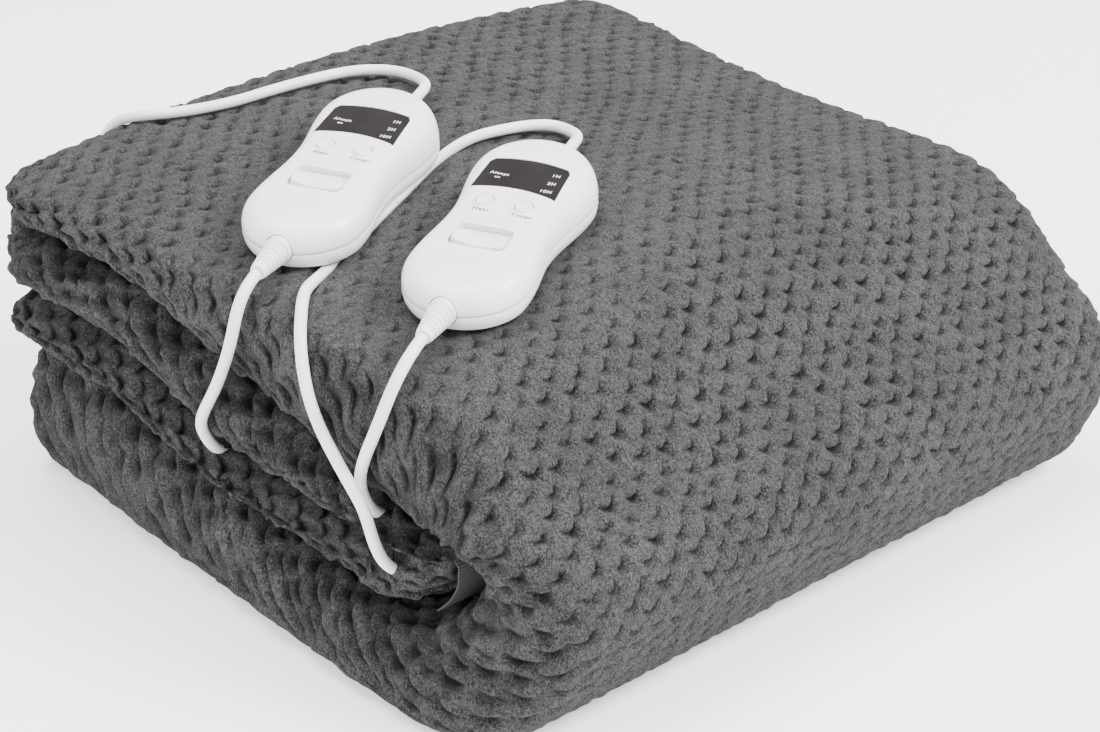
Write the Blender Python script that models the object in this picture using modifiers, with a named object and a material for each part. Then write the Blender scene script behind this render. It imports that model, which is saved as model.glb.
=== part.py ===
"""Folded electric heated blanket with two hand controllers.

The blanket is one thick strip of tufted plush cloth, folded back and forth
into four layers: the bottom layer turns up round the front into the top
layer, which folds at the back into the second, which folds inside the front
into the third.  Two controllers lie on the top layer.  Three cords run into
the folds, and one goes over the back edge to a coil and a plug.

Frame: metres, +Z up, origin at the bottom centre of the blanket.  The wide
rounded fold faces -Y, and the rounded sides of the layers face -X and +X.
"""

import math

import bmesh
import bpy
from mathutils import Matrix, Vector

COLLECTION = "electric_heated_blanket"

# --- Blanket: driving dimensions --------------------------------------------

SIDE_ROUND = 0.024       # how far the rounded side of a layer reaches in
END_ROUND = 0.014        # length over which a free end rounds off
ACROSS_STEPS = 20        # steps across the flat of a layer
SIDE_STEPS = 6           # steps round its side
END_STEPS = 3            # steps round a free end

# Sections along the strip, from the free end of the bottom layer to that of
# the third.  The strip has two faces; the columns give y and level for each,
# with levels counted in layers from the ground.  Face one is underneath in
# the bottom layer and goes round the outside of the stack.  A path leaves a
# level run into a fold, joins one out of a fold, or is flat.
STRIP = (
    # section          one y   level   two y   level  left    right   path     steps
    ("bottom back",    0.164,  0.000,  0.164,  0.98, -0.190,  0.194, "flat",   4),
    ("bottom middle",  0.038,  0.000,  0.038,  0.98, -0.194,  0.198, "flat",   5),
    ("bottom front",  -0.130,  0.000, -0.092,  0.98, -0.194,  0.202, "leave",  8),
    ("outer wrap",    -0.1915, 1.600, -0.129,  1.95, -0.170,  0.197, "join",   9),
    ("top front",     -0.077,  3.975, -0.092,  3.03, -0.178,  0.202, "flat",   9),
    ("top middle",     0.038,  3.975,  0.038,  3.03, -0.188,  0.192, "flat",  10),
    ("top back",       0.150,  3.975,  0.148,  3.03, -0.198,  0.194, "leave",  4),
    ("back fold",      0.1915, 3.000,  0.151,  2.99, -0.186,  0.192, "join",   4),
    ("second back",    0.150,  2.060,  0.148,  2.95, -0.202,  0.194, "flat",   3),
    ("second middle",  0.038,  2.060,  0.038,  2.95, -0.188,  0.194, "flat",   3),
    ("second front",  -0.080,  2.060, -0.080,  2.95, -0.180,  0.196, "leave",  4),
    ("inner fold",    -0.085,  2.000, -0.122,  2.00, -0.174,  0.188, "join",   4),
    ("third front",   -0.080,  1.940, -0.080,  1.06, -0.182,  0.196, "flat",   3),
    ("third middle",   0.038,  1.940,  0.038,  1.06, -0.192,  0.194, "flat",   4),
    ("third back",     0.156,  1.940,  0.156,  1.06, -0.200,  0.192, "flat",   0),
)
TOP_LEVEL = 3.975        # level of the top surface

# Height of the stack at three places across it, from the front to the back,
# and the share of that height at the top of each lower layer.
STACK = (
    # y        left    middle  right    bottom  third   second
    (-0.192,   0.130,  0.134,  0.137,   0.32,   0.52,   0.74),
    (-0.102,   0.142,  0.154,  0.139,   0.22,   0.44,   0.52),
    (-0.002,   0.152,  0.164,  0.140,   0.31,   0.42,   0.65),
    (0.098,    0.155,  0.166,  0.145,   0.41,   0.61,   0.83),
    (0.198,    0.151,  0.165,  0.152,   0.47,   0.67,   0.86),
)
COLUMN_X = 0.200         # the left and right columns' distance from the middle

# The flat seat that the controllers press into the top layer.
SEAT_HEIGHT = 0.1648     # where its plane crosses the middle of the blanket
SEAT_SLOPE = (0.08, 0.07)
SEAT_REACH = 0.042       # flat within this distance of a controller's axis
SEAT_FADE = 0.055        # and fading out over this much more
AXIS_HALF = 0.045        # half of the axis that counts for the seat

# Edge binding: a ribbed tape that shows in the opening of the front fold.
BINDING_PATH = (
    # y        level
    (-0.1225,  2.36),
    (-0.1252,  2.10),
    (-0.1248,  1.80),
    (-0.1197,  1.48),
    (-0.1110,  1.24),
)
BINDING_SPAN = (-0.166, -0.138)   # from its outer edge inwards, in x
BINDING_THICK = 0.0030
BINDING_STEPS = 3        # steps between two points of the path

# --- Controllers: driving dimensions ----------------------------------------

HEADING = math.radians(27)        # of a controller's long axis, from +X
CONTROLLERS = (
    # name            x        y
    ("controller_a", -0.0960,  0.0350),
    ("controller_b", -0.0768, -0.0510),
)
LIFT = 0.0003            # clearance under a controller

CASE_LENGTH = 0.131
HEAD_RADIUS = 0.029
FOOT_RADIUS = 0.0278
WAIST_DEPTH = 0.0042     # how far each side draws in at the waist
END_POINTS = 12          # steps round each end of the outline
WAIST_POINTS = 6         # steps along each side
CASE_HEIGHT = 0.023      # at the middle of the top face
CASE_RISE = 0.06         # slope of the top face, up towards the head
FACE_SHARE = 0.62        # share of the outline that the flat top face fills
CROWN_POWER = 2 / 2.4    # of the rounding between the side and the top face
CROWN_STEPS = 6
BASE_RINGS = (
    # share of outline, height
    (0.840,  0.0000),
    (0.935,  0.0010),
    (0.978,  0.0032),
    (1.000,  0.0068),
    (0.985,  0.0077),
)
RIM_RINGS = (
    # share of outline, height
    (0.985,  0.0083),
    (1.000,  0.0092),
)

WINDOW_SPAN = (0.0135, 0.0365)    # along the case
WINDOW_WIDTHS = (0.0385, 0.0370)  # at its lower and upper edges
WINDOW_BOW = 0.003                # of both long edges, towards the head
WINDOW_THICK = 0.0010
FIT = 0.0003                      # clearance round the window
EDGE_POINTS = 8

BUTTON_PLACE = 0.0040
BUTTON_OFFSET = 0.0091
BUTTON_RADIUS = 0.0040
BUTTON_HEIGHT = 0.0035
BUTTON_PROUD = 0.0008
HOLE_RADIUS = 0.0044
HOLE_DEPTH = 0.0040

RECESS_PLACE = -0.0225
RECESS_SIZE = (0.0260, 0.0165, 0.0026)
THUMB_PLACE = -0.0255
THUMB_SIZE = (0.0245, 0.0090, 0.0042)
ROUND_CORNER = 0.0018
CORNER_POINTS = 3

RELIEF_HEIGHT = 0.0095            # of its axis over the base
RELIEF_POCKET = (0.0066, 0.005)   # radius, and how deep it goes in
HEAD_RELIEF = 0.0145              # length outside the case
FOOT_RELIEF = 0.0195
RELIEF_RIBS = 4
RELIEF_STEPS = 12

# --- Cords: driving dimensions ----------------------------------------------

CORD_RADIUS = 0.0026
POINT_SPACING = 0.0125

LEAD_ROUTE = (
    (-0.0250, 0.0706, 0.1777), (-0.0180, 0.0742, 0.1784), (-0.0080, 0.0830, 0.1765),
    (0.0000, 0.0960, 0.1735), (0.0042, 0.1110, 0.1712), (0.0030, 0.1250, 0.1698),
    (-0.0110, 0.1360, 0.1698), (-0.0340, 0.1405, 0.1697), (-0.0560, 0.1433, 0.1690),
    (-0.0755, 0.1457, 0.1679), (-0.0940, 0.1530, 0.1664), (-0.1080, 0.1630, 0.1649),
    (-0.1150, 0.1750, 0.1621), (-0.1190, 0.1862, 0.1560), (-0.1205, 0.1945, 0.1430),
    (-0.1200, 0.1956, 0.1250), (-0.1180, 0.1960, 0.0950), (-0.1150, 0.1960, 0.0600),
    (-0.1100, 0.1975, 0.0300), (-0.1030, 0.2010, 0.0110), (-0.0930, 0.2050, 0.0042),
    (-0.0790, 0.2090, 0.0034), (-0.0600, 0.2130, 0.0034), (-0.0380, 0.2155, 0.0034),
    (-0.0150, 0.2162, 0.0034), (0.0080, 0.2163, 0.0036), (0.0275, 0.2177, 0.0050),
)
UPPER_ROUTE = (
    (-0.0058, -0.0154, 0.1732), (0.0010, -0.0119, 0.1738), (0.0110, -0.0040, 0.1718),
    (0.0168, 0.0075, 0.1694), (0.0165, 0.0180, 0.1694), (0.0080, 0.0255, 0.1694),
    (-0.0060, 0.0300, 0.1694), (-0.0200, 0.0337, 0.1688), (-0.0310, 0.0362, 0.1652),
    (-0.0415, 0.0370, 0.1608), (-0.0630, 0.0277, 0.1585), (-0.0850, 0.0182, 0.1561),
    (-0.1070, 0.0087, 0.1537), (-0.1290, -0.0008, 0.1513), (-0.1420, -0.0068, 0.1502),
    (-0.1510, -0.0125, 0.1518), (-0.1610, -0.0210, 0.1538), (-0.1700, -0.0310, 0.1525),
    (-0.1798, -0.0425, 0.1442), (-0.1835, -0.0500, 0.1290), (-0.1848, -0.0585, 0.1160),
    (-0.1870, -0.0720, 0.1065), (-0.1880, -0.0840, 0.0976), (-0.1870, -0.0915, 0.0890),
    (-0.1860, -0.0942, 0.0770), (-0.1805, -0.0938, 0.0630),
)
FRONT_ROUTE = (
    (-0.1536, -0.0901, 0.1560), (-0.1605, -0.0936, 0.1551), (-0.1690, -0.0960, 0.1500),
    (-0.1760, -0.0960, 0.1400), (-0.1800, -0.0930, 0.1265), (-0.1815, -0.0880, 0.1145),
    (-0.1812, -0.0820, 0.1015), (-0.1795, -0.0790, 0.0910), (-0.1750, -0.0775, 0.0810),
)
BACK_ROUTE = (
    (-0.1732, -0.0043, 0.1605), (-0.1797, -0.0076, 0.1595), (-0.1870, -0.0098, 0.1525),
    (-0.1897, -0.0085, 0.1400), (-0.1900, -0.0030, 0.1260), (-0.1900, 0.0060, 0.1090),
    (-0.1900, 0.0145, 0.0960), (-0.1900, 0.0210, 0.0845), (-0.1835, 0.0235, 0.0715),
)
CORDS = (
    # node                   route
    ("mains_lead",           LEAD_ROUTE),
    ("controller_b_cord",    UPPER_ROUTE),
    ("front_heating_cord",   FRONT_ROUTE),
    ("back_heating_cord",    BACK_ROUTE),
)

# The groove that the cord under the first controller presses into the cloth.
GROOVE_RADIUS = 0.0036
GROOVE_TALL = 0.010      # how far its cutter stands up
GROOVE_POINTS = (7, 17)  # the cord's route points over which it runs
GROOVE_SPACING = 0.008
GROOVE_SIDES = 6

COIL_CENTRE = (0.044, 0.253)
COIL_RADIUS = 0.029
COIL_SECTION = 0.0080
COIL_STEPS = 24
COIL_POINTS = 12
TAIL_ROUTE = (
    (0.0440, 0.2926, 0.0060), (0.0300, 0.2960, 0.0042), (0.0120, 0.2966, 0.0042),
    (-0.0060, 0.2950, 0.0064), (-0.0199, 0.2930, 0.0070),
)

PLUG_TIP = (-0.0204, 0.2929, 0.0070)
PLUG_HEADING = math.radians(188)
PLUG_OUTLINE = (
    # along, half width
    (0.0000, 0.0035),
    (0.0100, 0.0045),
    (0.0180, 0.0125),
    (0.0355, 0.0130),
)
PLUG_THICK = 0.0135
PLUG_BEVEL = 0.003
PIN_SPREAD = 0.0093
PIN_RADIUS = 0.002
PIN_LENGTH = 0.019

MATERIALS = {
    # slot             colour                     roughness
    "grey_plush":      ((0.210, 0.200, 0.195, 1), 0.95),
    "ribbed_tape":     ((0.240, 0.225, 0.215, 1), 0.80),
    "white_shell":     ((0.840, 0.840, 0.840, 1), 0.35),
    "white_keys":      ((0.800, 0.800, 0.800, 1), 0.40),
    "dark_window":     ((0.090, 0.080, 0.085, 1), 0.20),
    "white_cord":      ((0.820, 0.820, 0.820, 1), 0.45),
    "pin_metal":       ((0.700, 0.690, 0.660, 1), 0.30),
}


# --- Curves through tables --------------------------------------------------

def shared_slope(before, after):
    """Slope between two rises that keeps a curve from overshooting either."""
    return 2 * before * after / (before + after) if before * after > 0 else 0.0


def on_curve(values, place):
    """Value at a place, in row numbers, on a smooth curve that never overshoots."""
    last = len(values) - 1
    place = min(max(place, 0.0), float(last))
    row = min(int(place), last - 1)
    t = place - row
    rise = values[row + 1] - values[row]
    slope_in = shared_slope(values[row] - values[max(row - 1, 0)], rise)
    slope_out = shared_slope(rise, values[min(row + 2, last)] - values[row + 1])
    return (values[row] + t * slope_in + t * t * (3 * rise - 2 * slope_in - slope_out)
            + t ** 3 * (slope_in + slope_out - 2 * rise))


def place_among(keys, value):
    """Where a value falls among rising keys, in row numbers."""
    row = 0
    while row < len(keys) - 2 and value > keys[row + 1]:
        row += 1
    share = (value - keys[row]) / (keys[row + 1] - keys[row])
    return row + min(max(share, 0.0), 1.0)


def column(table, index):
    """One column of a table, as a list."""
    return [row[index] for row in table]


def along_route(route, spacing):
    """Points at an even spacing on a smooth curve through a route."""
    knots = [Vector(point) for point in route]
    knots = [2 * knots[0] - knots[1]] + knots + [2 * knots[-1] - knots[-2]]
    fine = []
    for a, b, c, d in zip(knots, knots[1:], knots[2:], knots[3:]):
        for i in range(20):
            t = i / 20
            fine.append(b + (c - a) * t / 2 + (2 * a - 5 * b + 4 * c - d) * t * t / 2
                        + (3 * b - a - 3 * c + d) * t ** 3 / 2)
    fine.append(knots[-2])
    steps = [(q - p).length for p, q in zip(fine, fine[1:])]
    count = max(2, round(sum(steps) / spacing))
    points, reached, index = [fine[0]], 0.0, 0
    for i in range(1, count):
        goal = sum(steps) * i / count
        while reached + steps[index] < goal:
            reached += steps[index]
            index += 1
        points.append(fine[index].lerp(fine[index + 1], (goal - reached) / steps[index]))
    return points + [fine[-1]]


# --- Blanket ----------------------------------------------------------------

def seat_plane(x, y):
    """Height of the flat seat under the controllers."""
    return SEAT_HEIGHT + SEAT_SLOPE[0] * x + SEAT_SLOPE[1] * y


def seat_weight(x, y):
    """How far the cloth follows the seat: 1 under a controller, 0 well away."""
    nearest = 1.0
    for _, centre_x, centre_y in CONTROLLERS:
        along = (x - centre_x) * math.cos(HEADING) + (y - centre_y) * math.sin(HEADING)
        side = (x - centre_x) * math.sin(HEADING) - (y - centre_y) * math.cos(HEADING)
        nearest = min(nearest, math.hypot(max(abs(along) - AXIS_HALF, 0.0), side))
    fade = min(max((nearest - SEAT_REACH) / SEAT_FADE, 0.0), 1.0)
    return 1 - fade * fade * (3 - 2 * fade)


def settled(x, y, level):
    """The height to which a point of the even stack settles."""
    place = place_among(column(STACK, 0), y)
    left, middle, right = (on_curve(column(STACK, i), place) for i in (1, 2, 3))
    u = min(max(x / COLUMN_X, -1.0), 1.0)
    stack = middle + u * (right - left) / 2 + u * u * ((left + right) / 2 - middle)
    shares = [0.0] + [on_curve(column(STACK, i), place) for i in (4, 5, 6)] + [1.0]
    top = stack * on_curve(shares, TOP_LEVEL)
    height = stack * on_curve(shares, level)
    pressed = (seat_plane(x, y) - top) * seat_weight(x, y)
    return height + pressed * (height / top) ** 3


def face_points(row, share):
    """Points, as y and level, on the strip's two faces past a section."""
    here, after = STRIP[row], STRIP[min(row + 1, len(STRIP) - 1)]
    turn = share * math.pi / 2
    along, up = {
        "flat": (share, share),
        "leave": (math.sin(turn), 1 - math.cos(turn)),
        "join": (1 - math.cos(turn), math.sin(turn)),
    }[here[7]]
    return [Vector((here[i] + (after[i] - here[i]) * along,
                    here[i + 1] + (after[i + 1] - here[i + 1]) * up)) for i in (1, 3)]


def strip_profile(left, right):
    """Outline of the strip's section: x, and place from face two (-1) to one (1)."""
    flat = (left + SIDE_ROUND, right - SIDE_ROUND)
    across = [flat[0] + (flat[1] - flat[0]) * i / ACROSS_STEPS for i in range(ACROSS_STEPS + 1)]
    turns = [math.pi * i / SIDE_STEPS for i in range(1, SIDE_STEPS)]
    first = [(x, 1.0) for x in across]
    right_side = [(flat[1] + SIDE_ROUND * math.sin(a), math.cos(a)) for a in turns]
    second = [(x, -1.0) for x in reversed(across)]
    left_side = [(flat[0] - SIDE_ROUND * math.sin(a), -math.cos(a)) for a in turns]
    return first + right_side + second + left_side


def strip_ring(row, share, past_end=0.0):
    """Ring of points round the strip; past_end is how far a free end has closed."""
    left, right = (on_curve(column(STRIP, i), row + share) for i in (5, 6))
    one, two = face_points(row, share)
    middle, half = (one + two) / 2, (one - two) / 2
    middle.x += END_ROUND * past_end
    open_share = math.sqrt(1 - past_end * past_end)
    inset = END_ROUND * (1 - open_share)
    ring = []
    for x, side in strip_profile(left + inset, right - inset):
        y, level = middle + half * side * open_share
        ring.append(Vector((x, y, settled(x, y, level))))
    return ring


def blanket_rings():
    """All rings of the strip, from one free end to the other."""
    closing = [math.sin(math.pi / 2 * i / (END_STEPS + 0.5)) for i in range(END_STEPS, 0, -1)]
    rings = [strip_ring(0, 0.0, part) for part in closing]
    for row, section in enumerate(STRIP[:-1]):
        rings += [strip_ring(row, i / section[8]) for i in range(section[8])]
    last = len(STRIP) - 1
    rings.append(strip_ring(last, 0.0))
    return rings + [strip_ring(last, 0.0, part) for part in reversed(closing)]


def binding_rings():
    """Rings of the tape: flat sections with a rounded edge at each end."""
    rings = []
    last = len(BINDING_PATH) - 1
    outer, inner = BINDING_SPAN
    half = BINDING_THICK / 2
    turns = [math.pi * i / 6 for i in range(7)]
    middle_x = (outer + inner) / 2
    for i in range(last * BINDING_STEPS + 1):
        place = i / BINDING_STEPS
        y, level = (on_curve(column(BINDING_PATH, k), place) for k in (0, 1))
        y_next, level_next = (on_curve(column(BINDING_PATH, k), place + 0.02) for k in (0, 1))
        if i == last * BINDING_STEPS:
            y_next, level_next = (2 * v - on_curve(column(BINDING_PATH, k), place - 0.02)
                                  for k, v in ((0, y), (1, level)))
        here = Vector((y, settled(middle_x, y, level)))
        heading = Vector((y_next, settled(middle_x, y_next, level_next))) - here
        out = Vector((-heading.y, heading.x)).normalized() * half
        ring = []
        for a in turns:
            point = here + out * math.cos(a)
            ring.append(Vector((outer + half - half * math.sin(a), point.x, point.y)))
        for a in turns:
            point = here - out * math.cos(a)
            ring.append(Vector((inner - half + half * math.sin(a), point.x, point.y)))
        rings.append(ring)
    return rings


# --- Mesh and object helpers ------------------------------------------------

def finished_mesh(name, bm):
    """Turn a bmesh into a mesh with outward faces."""
    bmesh.ops.recalc_face_normals(bm, faces=bm.faces)
    mesh = bpy.data.meshes.new(name)
    bm.to_mesh(mesh)
    bm.free()
    return mesh


def loft(name, rings):
    """Closed mesh through rings of points, capped at both ends."""
    bm = bmesh.new()
    loops = [[bm.verts.new(point) for point in ring] for ring in rings]
    for lower, upper in zip(loops, loops[1:]):
        for i in range(len(lower)):
            j = (i + 1) % len(lower)
            bm.faces.new((lower[i], lower[j], upper[j], upper[i]))
    bm.faces.new(reversed(loops[0]))
    bm.faces.new(loops[-1])
    return finished_mesh(name, bm)


def plate(name, outline, bottom, top):
    """Flat outline extruded from one height to another."""
    bm = bmesh.new()
    face = bm.faces.new([bm.verts.new((x, y, bottom)) for x, y in outline])
    grown = bmesh.ops.extrude_face_region(bm, geom=[face])
    raised = [item for item in grown["geom"] if isinstance(item, bmesh.types.BMVert)]
    bmesh.ops.translate(bm, verts=raised, vec=(0, 0, top - bottom))
    return finished_mesh(name, bm)


def disc(name, radius, bottom, top, segments=20):
    """Upright cylinder between two heights."""
    bm = bmesh.new()
    middle = Matrix.Translation((0, 0, (bottom + top) / 2))
    bmesh.ops.create_cone(bm, cap_ends=True, segments=segments, radius1=radius,
                          radius2=radius, depth=top - bottom, matrix=middle)
    return finished_mesh(name, bm)


def profile_mesh(name, points, closed):
    """Bare edges through points in the XZ plane, to be turned about Z."""
    mesh = bpy.data.meshes.new(name)
    edges = [(i, i + 1) for i in range(len(points) - 1)]
    if closed:
        edges.append((len(points) - 1, 0))
    mesh.from_pydata([(x, 0, z) for x, z in points], edges, [])
    return mesh


def turn_about_z(item, steps):
    """Turn a profile into a closed round solid."""
    screw = item.modifiers.new("Turn", "SCREW")
    screw.axis = "Z"
    screw.steps = steps
    screw.render_steps = steps
    screw.use_merge_vertices = True
    screw.merge_threshold = 0.00001
    screw.use_normal_calculate = True
    screw.use_smooth_shade = True


def bevel(item, width, segments):
    """Round an object's sharp edges."""
    modifier = item.modifiers.new("Bevel", "BEVEL")
    modifier.width = width
    modifier.segments = segments
    modifier.limit_method = "ANGLE"


def place(name, data, material, collection, matrix=Matrix.Identity(4)):
    """Add a named object with one material."""
    item = bpy.data.objects.new(name, data)
    item.matrix_world = matrix
    if material:
        data.materials.clear()
        data.materials.append(material)
    collection.objects.link(item)
    return item


def smooth(item):
    """Shade a round object smooth."""
    for polygon in item.data.polygons:
        polygon.use_smooth = True


def cut(item, cutter):
    """Subtract one object from another."""
    modifier = item.modifiers.new("Cut " + cutter.name, "BOOLEAN")
    modifier.operation = "DIFFERENCE"
    modifier.solver = "EXACT"
    modifier.object = cutter


def make_cutter(name, data, collection, matrix):
    """Add a hidden object that others are cut with."""
    item = place(name, data, None, collection, matrix)
    item.hide_render = True
    item.display_type = "WIRE"
    return item


def make_material(name, colour, roughness):
    """Plain Principled material."""
    material = bpy.data.materials.new(name)
    material.use_nodes = True
    shader = material.node_tree.nodes["Principled BSDF"]
    shader.inputs["Base Color"].default_value = colour
    shader.inputs["Roughness"].default_value = roughness
    return material


# --- Controllers ------------------------------------------------------------

def case_outline():
    """The case's outline: x, y, and y of the point that each is drawn in to."""
    head, foot = CASE_LENGTH / 2 - HEAD_RADIUS, FOOT_RADIUS - CASE_LENGTH / 2
    points = []
    for i in range(END_POINTS + 1):
        a = math.pi * i / END_POINTS
        points.append((HEAD_RADIUS * math.cos(a), head + HEAD_RADIUS * math.sin(a), head))
    waist = []
    for i in range(1, WAIST_POINTS):
        share = i / WAIST_POINTS
        width = HEAD_RADIUS + (FOOT_RADIUS - HEAD_RADIUS) * share
        width -= WAIST_DEPTH * math.sin(math.pi * share) ** 2
        waist.append((width, head + (foot - head) * share))
    points += [(-width, y, y) for width, y in waist]
    for i in range(END_POINTS + 1):
        a = math.pi * (1 + i / END_POINTS)
        points.append((FOOT_RADIUS * math.cos(a), foot + FOOT_RADIUS * math.sin(a), foot))
    return points + [(width, y, y) for width, y in reversed(waist)]


def case_ring(share, low, rise=0.0):
    """Ring at a share of the outline, raised from low towards the top face."""
    ring = []
    for x, y, centre in case_outline():
        y_in = centre + (y - centre) * share
        top = CASE_HEIGHT + CASE_RISE * y_in
        ring.append(Vector((x * share, y_in, low + (top - low) * rise)))
    return ring


def upper_rings():
    """Rings of the upper shell, from its rim up to the flat top face."""
    rings = [case_ring(share, height) for share, height in RIM_RINGS]
    rim = RIM_RINGS[-1][1]
    for i in range(1, CROWN_STEPS + 1):
        a = math.pi / 2 * i / CROWN_STEPS
        share = FACE_SHARE + (1 - FACE_SHARE) * max(math.cos(a), 0.0) ** CROWN_POWER
        rings.append(case_ring(share, rim, math.sin(a) ** CROWN_POWER))
    return rings


def window_outline(grow):
    """Outline of the display window, grown all round."""
    low, high = WINDOW_SPAN[0] - grow, WINDOW_SPAN[1] + grow
    points = []
    for y, width, signs in ((low, WINDOW_WIDTHS[0], 1), (high, WINDOW_WIDTHS[1], -1)):
        half = width / 2 + grow
        for i in range(EDGE_POINTS + 1):
            u = (2 * i / EDGE_POINTS - 1) * signs
            points.append((u * half, y + WINDOW_BOW * (1 - u * u)))
    return points


def round_outline(size_x, size_y, corner):
    """Rectangle with round corners."""
    points = []
    for turn, sign_x, sign_y in ((0, 1, 1), (1, -1, 1), (2, -1, -1), (3, 1, -1)):
        for i in range(CORNER_POINTS + 1):
            a = math.pi / 2 * (turn + i / CORNER_POINTS)
            points.append((sign_x * (size_x / 2 - corner) + corner * math.cos(a),
                           sign_y * (size_y / 2 - corner) + corner * math.sin(a)))
    return points


def face_frame(x, y):
    """Frame on the case's top face, with its Z along the face's normal."""
    tilt = Matrix.Rotation(math.atan(CASE_RISE), 4, "X")
    return Matrix.Translation((x, y, CASE_HEIGHT + CASE_RISE * y)) @ tilt


def relief_frame(end):
    """Frame at an end of the case, with its Z outward along the cord."""
    turn = Matrix.Rotation(-math.pi / 2 * end, 4, "X")
    return Matrix.Translation((0, end * CASE_LENGTH / 2, RELIEF_HEIGHT)) @ turn


def relief_profile(length):
    """Ribbed taper: radius and distance out from the end of the case."""
    base = -RELIEF_POCKET[1] + 0.0006
    points = [(0.0, base), (0.0062, base), (0.0062, 0.0012)]
    pitch = (length - 0.0030) / RELIEF_RIBS
    for i in range(RELIEF_RIBS):
        start = 0.0012 + i * pitch
        radius = 0.0058 - 0.0018 * i / (RELIEF_RIBS - 1)
        points += [(radius - 0.0009, start + 0.1 * pitch), (radius - 0.0009, start + 0.35 * pitch),
                   (radius, start + 0.5 * pitch), (radius, start + 0.95 * pitch)]
    return points + [(0.0036, length - 0.0012), (0.0034, length), (0.0, length)]


def seat_frame(x, y):
    """Frame on the seat, with Y along the controller and Z along its normal."""
    normal = Vector((-SEAT_SLOPE[0], -SEAT_SLOPE[1], 1)).normalized()
    ahead = Vector((math.cos(HEADING), math.sin(HEADING), 0))
    ahead = (ahead - normal * ahead.dot(normal)).normalized()
    side = ahead.cross(normal)
    turn = Matrix((side, ahead, normal)).transposed().to_4x4()
    return Matrix.Translation(Vector((x, y, seat_plane(x, y))) + normal * LIFT) @ turn


def make_controller(name, frame, materials, parts, cutters):
    """Both shells of one controller and everything fitted to them."""
    base = place(name + "_base", loft("base", [case_ring(*ring) for ring in BASE_RINGS]),
                 materials["white_shell"], parts, frame)
    case = place(name + "_case", loft("case", upper_rings()), materials["white_shell"], parts, frame)

    face = frame @ face_frame(0, 0)
    window = plate("window", window_outline(0), -WINDOW_THICK, 0)
    place(name + "_window", window, materials["dark_window"], parts, face)
    pocket = plate("window_pocket", window_outline(FIT), -WINDOW_THICK - FIT, 0.004)
    cut(case, make_cutter(name + "_window_pocket", pocket, cutters, face))

    for key, side in (("heat", -1), ("timer", 1)):
        spot = frame @ face_frame(side * BUTTON_OFFSET, BUTTON_PLACE)
        button = disc("button", BUTTON_RADIUS, BUTTON_PROUD - BUTTON_HEIGHT, BUTTON_PROUD)
        item = place(name + "_" + key + "_button", button, materials["white_keys"], parts, spot)
        bevel(item, 0.0003, 1)
        hole = disc("hole", HOLE_RADIUS, -HOLE_DEPTH, 0.004)
        cut(case, make_cutter(name + "_" + key + "_hole", hole, cutters, spot))

    width, length, depth = RECESS_SIZE
    recess = plate("recess", round_outline(width, length, ROUND_CORNER), -depth, 0.004)
    spot = frame @ face_frame(0, RECESS_PLACE)
    cut(case, make_cutter(name + "_recess", recess, cutters, spot))
    width, length, height = THUMB_SIZE
    thumb = plate("thumb", round_outline(width, length, ROUND_CORNER), 0, height)
    lift = Matrix.Translation((0, 0, FIT - depth))
    item = place(name + "_slide", thumb, materials["white_keys"], parts,
                 frame @ face_frame(0, THUMB_PLACE) @ lift)
    bevel(item, 0.0010, 1)

    for end, title, length in ((1, "head", HEAD_RELIEF), (-1, "foot", FOOT_RELIEF)):
        spot = frame @ relief_frame(end)
        relief = profile_mesh("relief", relief_profile(length), False)
        item = place(name + "_" + title + "_relief", relief, materials["white_cord"], parts, spot)
        turn_about_z(item, RELIEF_STEPS)
        radius, deep = RELIEF_POCKET
        socket = disc("socket", radius, -deep, 0.010)
        cutter = make_cutter(name + "_" + title + "_socket", socket, cutters, spot)
        cut(case, cutter)
        cut(base, cutter)


# --- Cords, coil and plug ---------------------------------------------------

def tube(name, points, radius):
    """Round tube through points."""
    curve = bpy.data.curves.new(name, "CURVE")
    curve.dimensions = "3D"
    curve.bevel_depth = radius
    curve.bevel_resolution = 2
    curve.use_fill_caps = True
    spline = curve.splines.new("POLY")
    spline.points.add(len(points) - 1)
    for target, point in zip(spline.points, points):
        target.co = (*point, 1)
    spline.use_smooth = True
    return curve


def groove_rings(points):
    """U-shaped sections along a path, open upwards, to cut a groove with."""
    turns = [math.pi * (1 + k / GROOVE_SIDES) for k in range(GROOVE_SIDES + 1)]
    section = [(math.cos(a) * GROOVE_RADIUS, math.sin(a) * GROOVE_RADIUS) for a in turns]
    section += [(GROOVE_RADIUS, GROOVE_TALL), (-GROOVE_RADIUS, GROOVE_TALL)]
    rings = []
    for i, point in enumerate(points):
        heading = points[min(i + 1, len(points) - 1)] - points[max(i - 1, 0)]
        side = heading.cross(Vector((0, 0, 1))).normalized()
        rings.append([point + side * x + Vector((0, 0, z)) for x, z in section])
    return rings


def make_coil(materials, parts):
    """The wound-up mains lead, as one turned ring on the ground."""
    turns = [2 * math.pi * i / COIL_POINTS for i in range(COIL_POINTS)]
    section = [(COIL_RADIUS + COIL_SECTION * math.cos(a), COIL_SECTION * math.sin(a)) for a in turns]
    coil = place("mains_coil", profile_mesh("coil", section, True), materials["white_cord"], parts,
                 Matrix.Translation((*COIL_CENTRE, COIL_SECTION + FIT)))
    turn_about_z(coil, COIL_STEPS)


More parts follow.
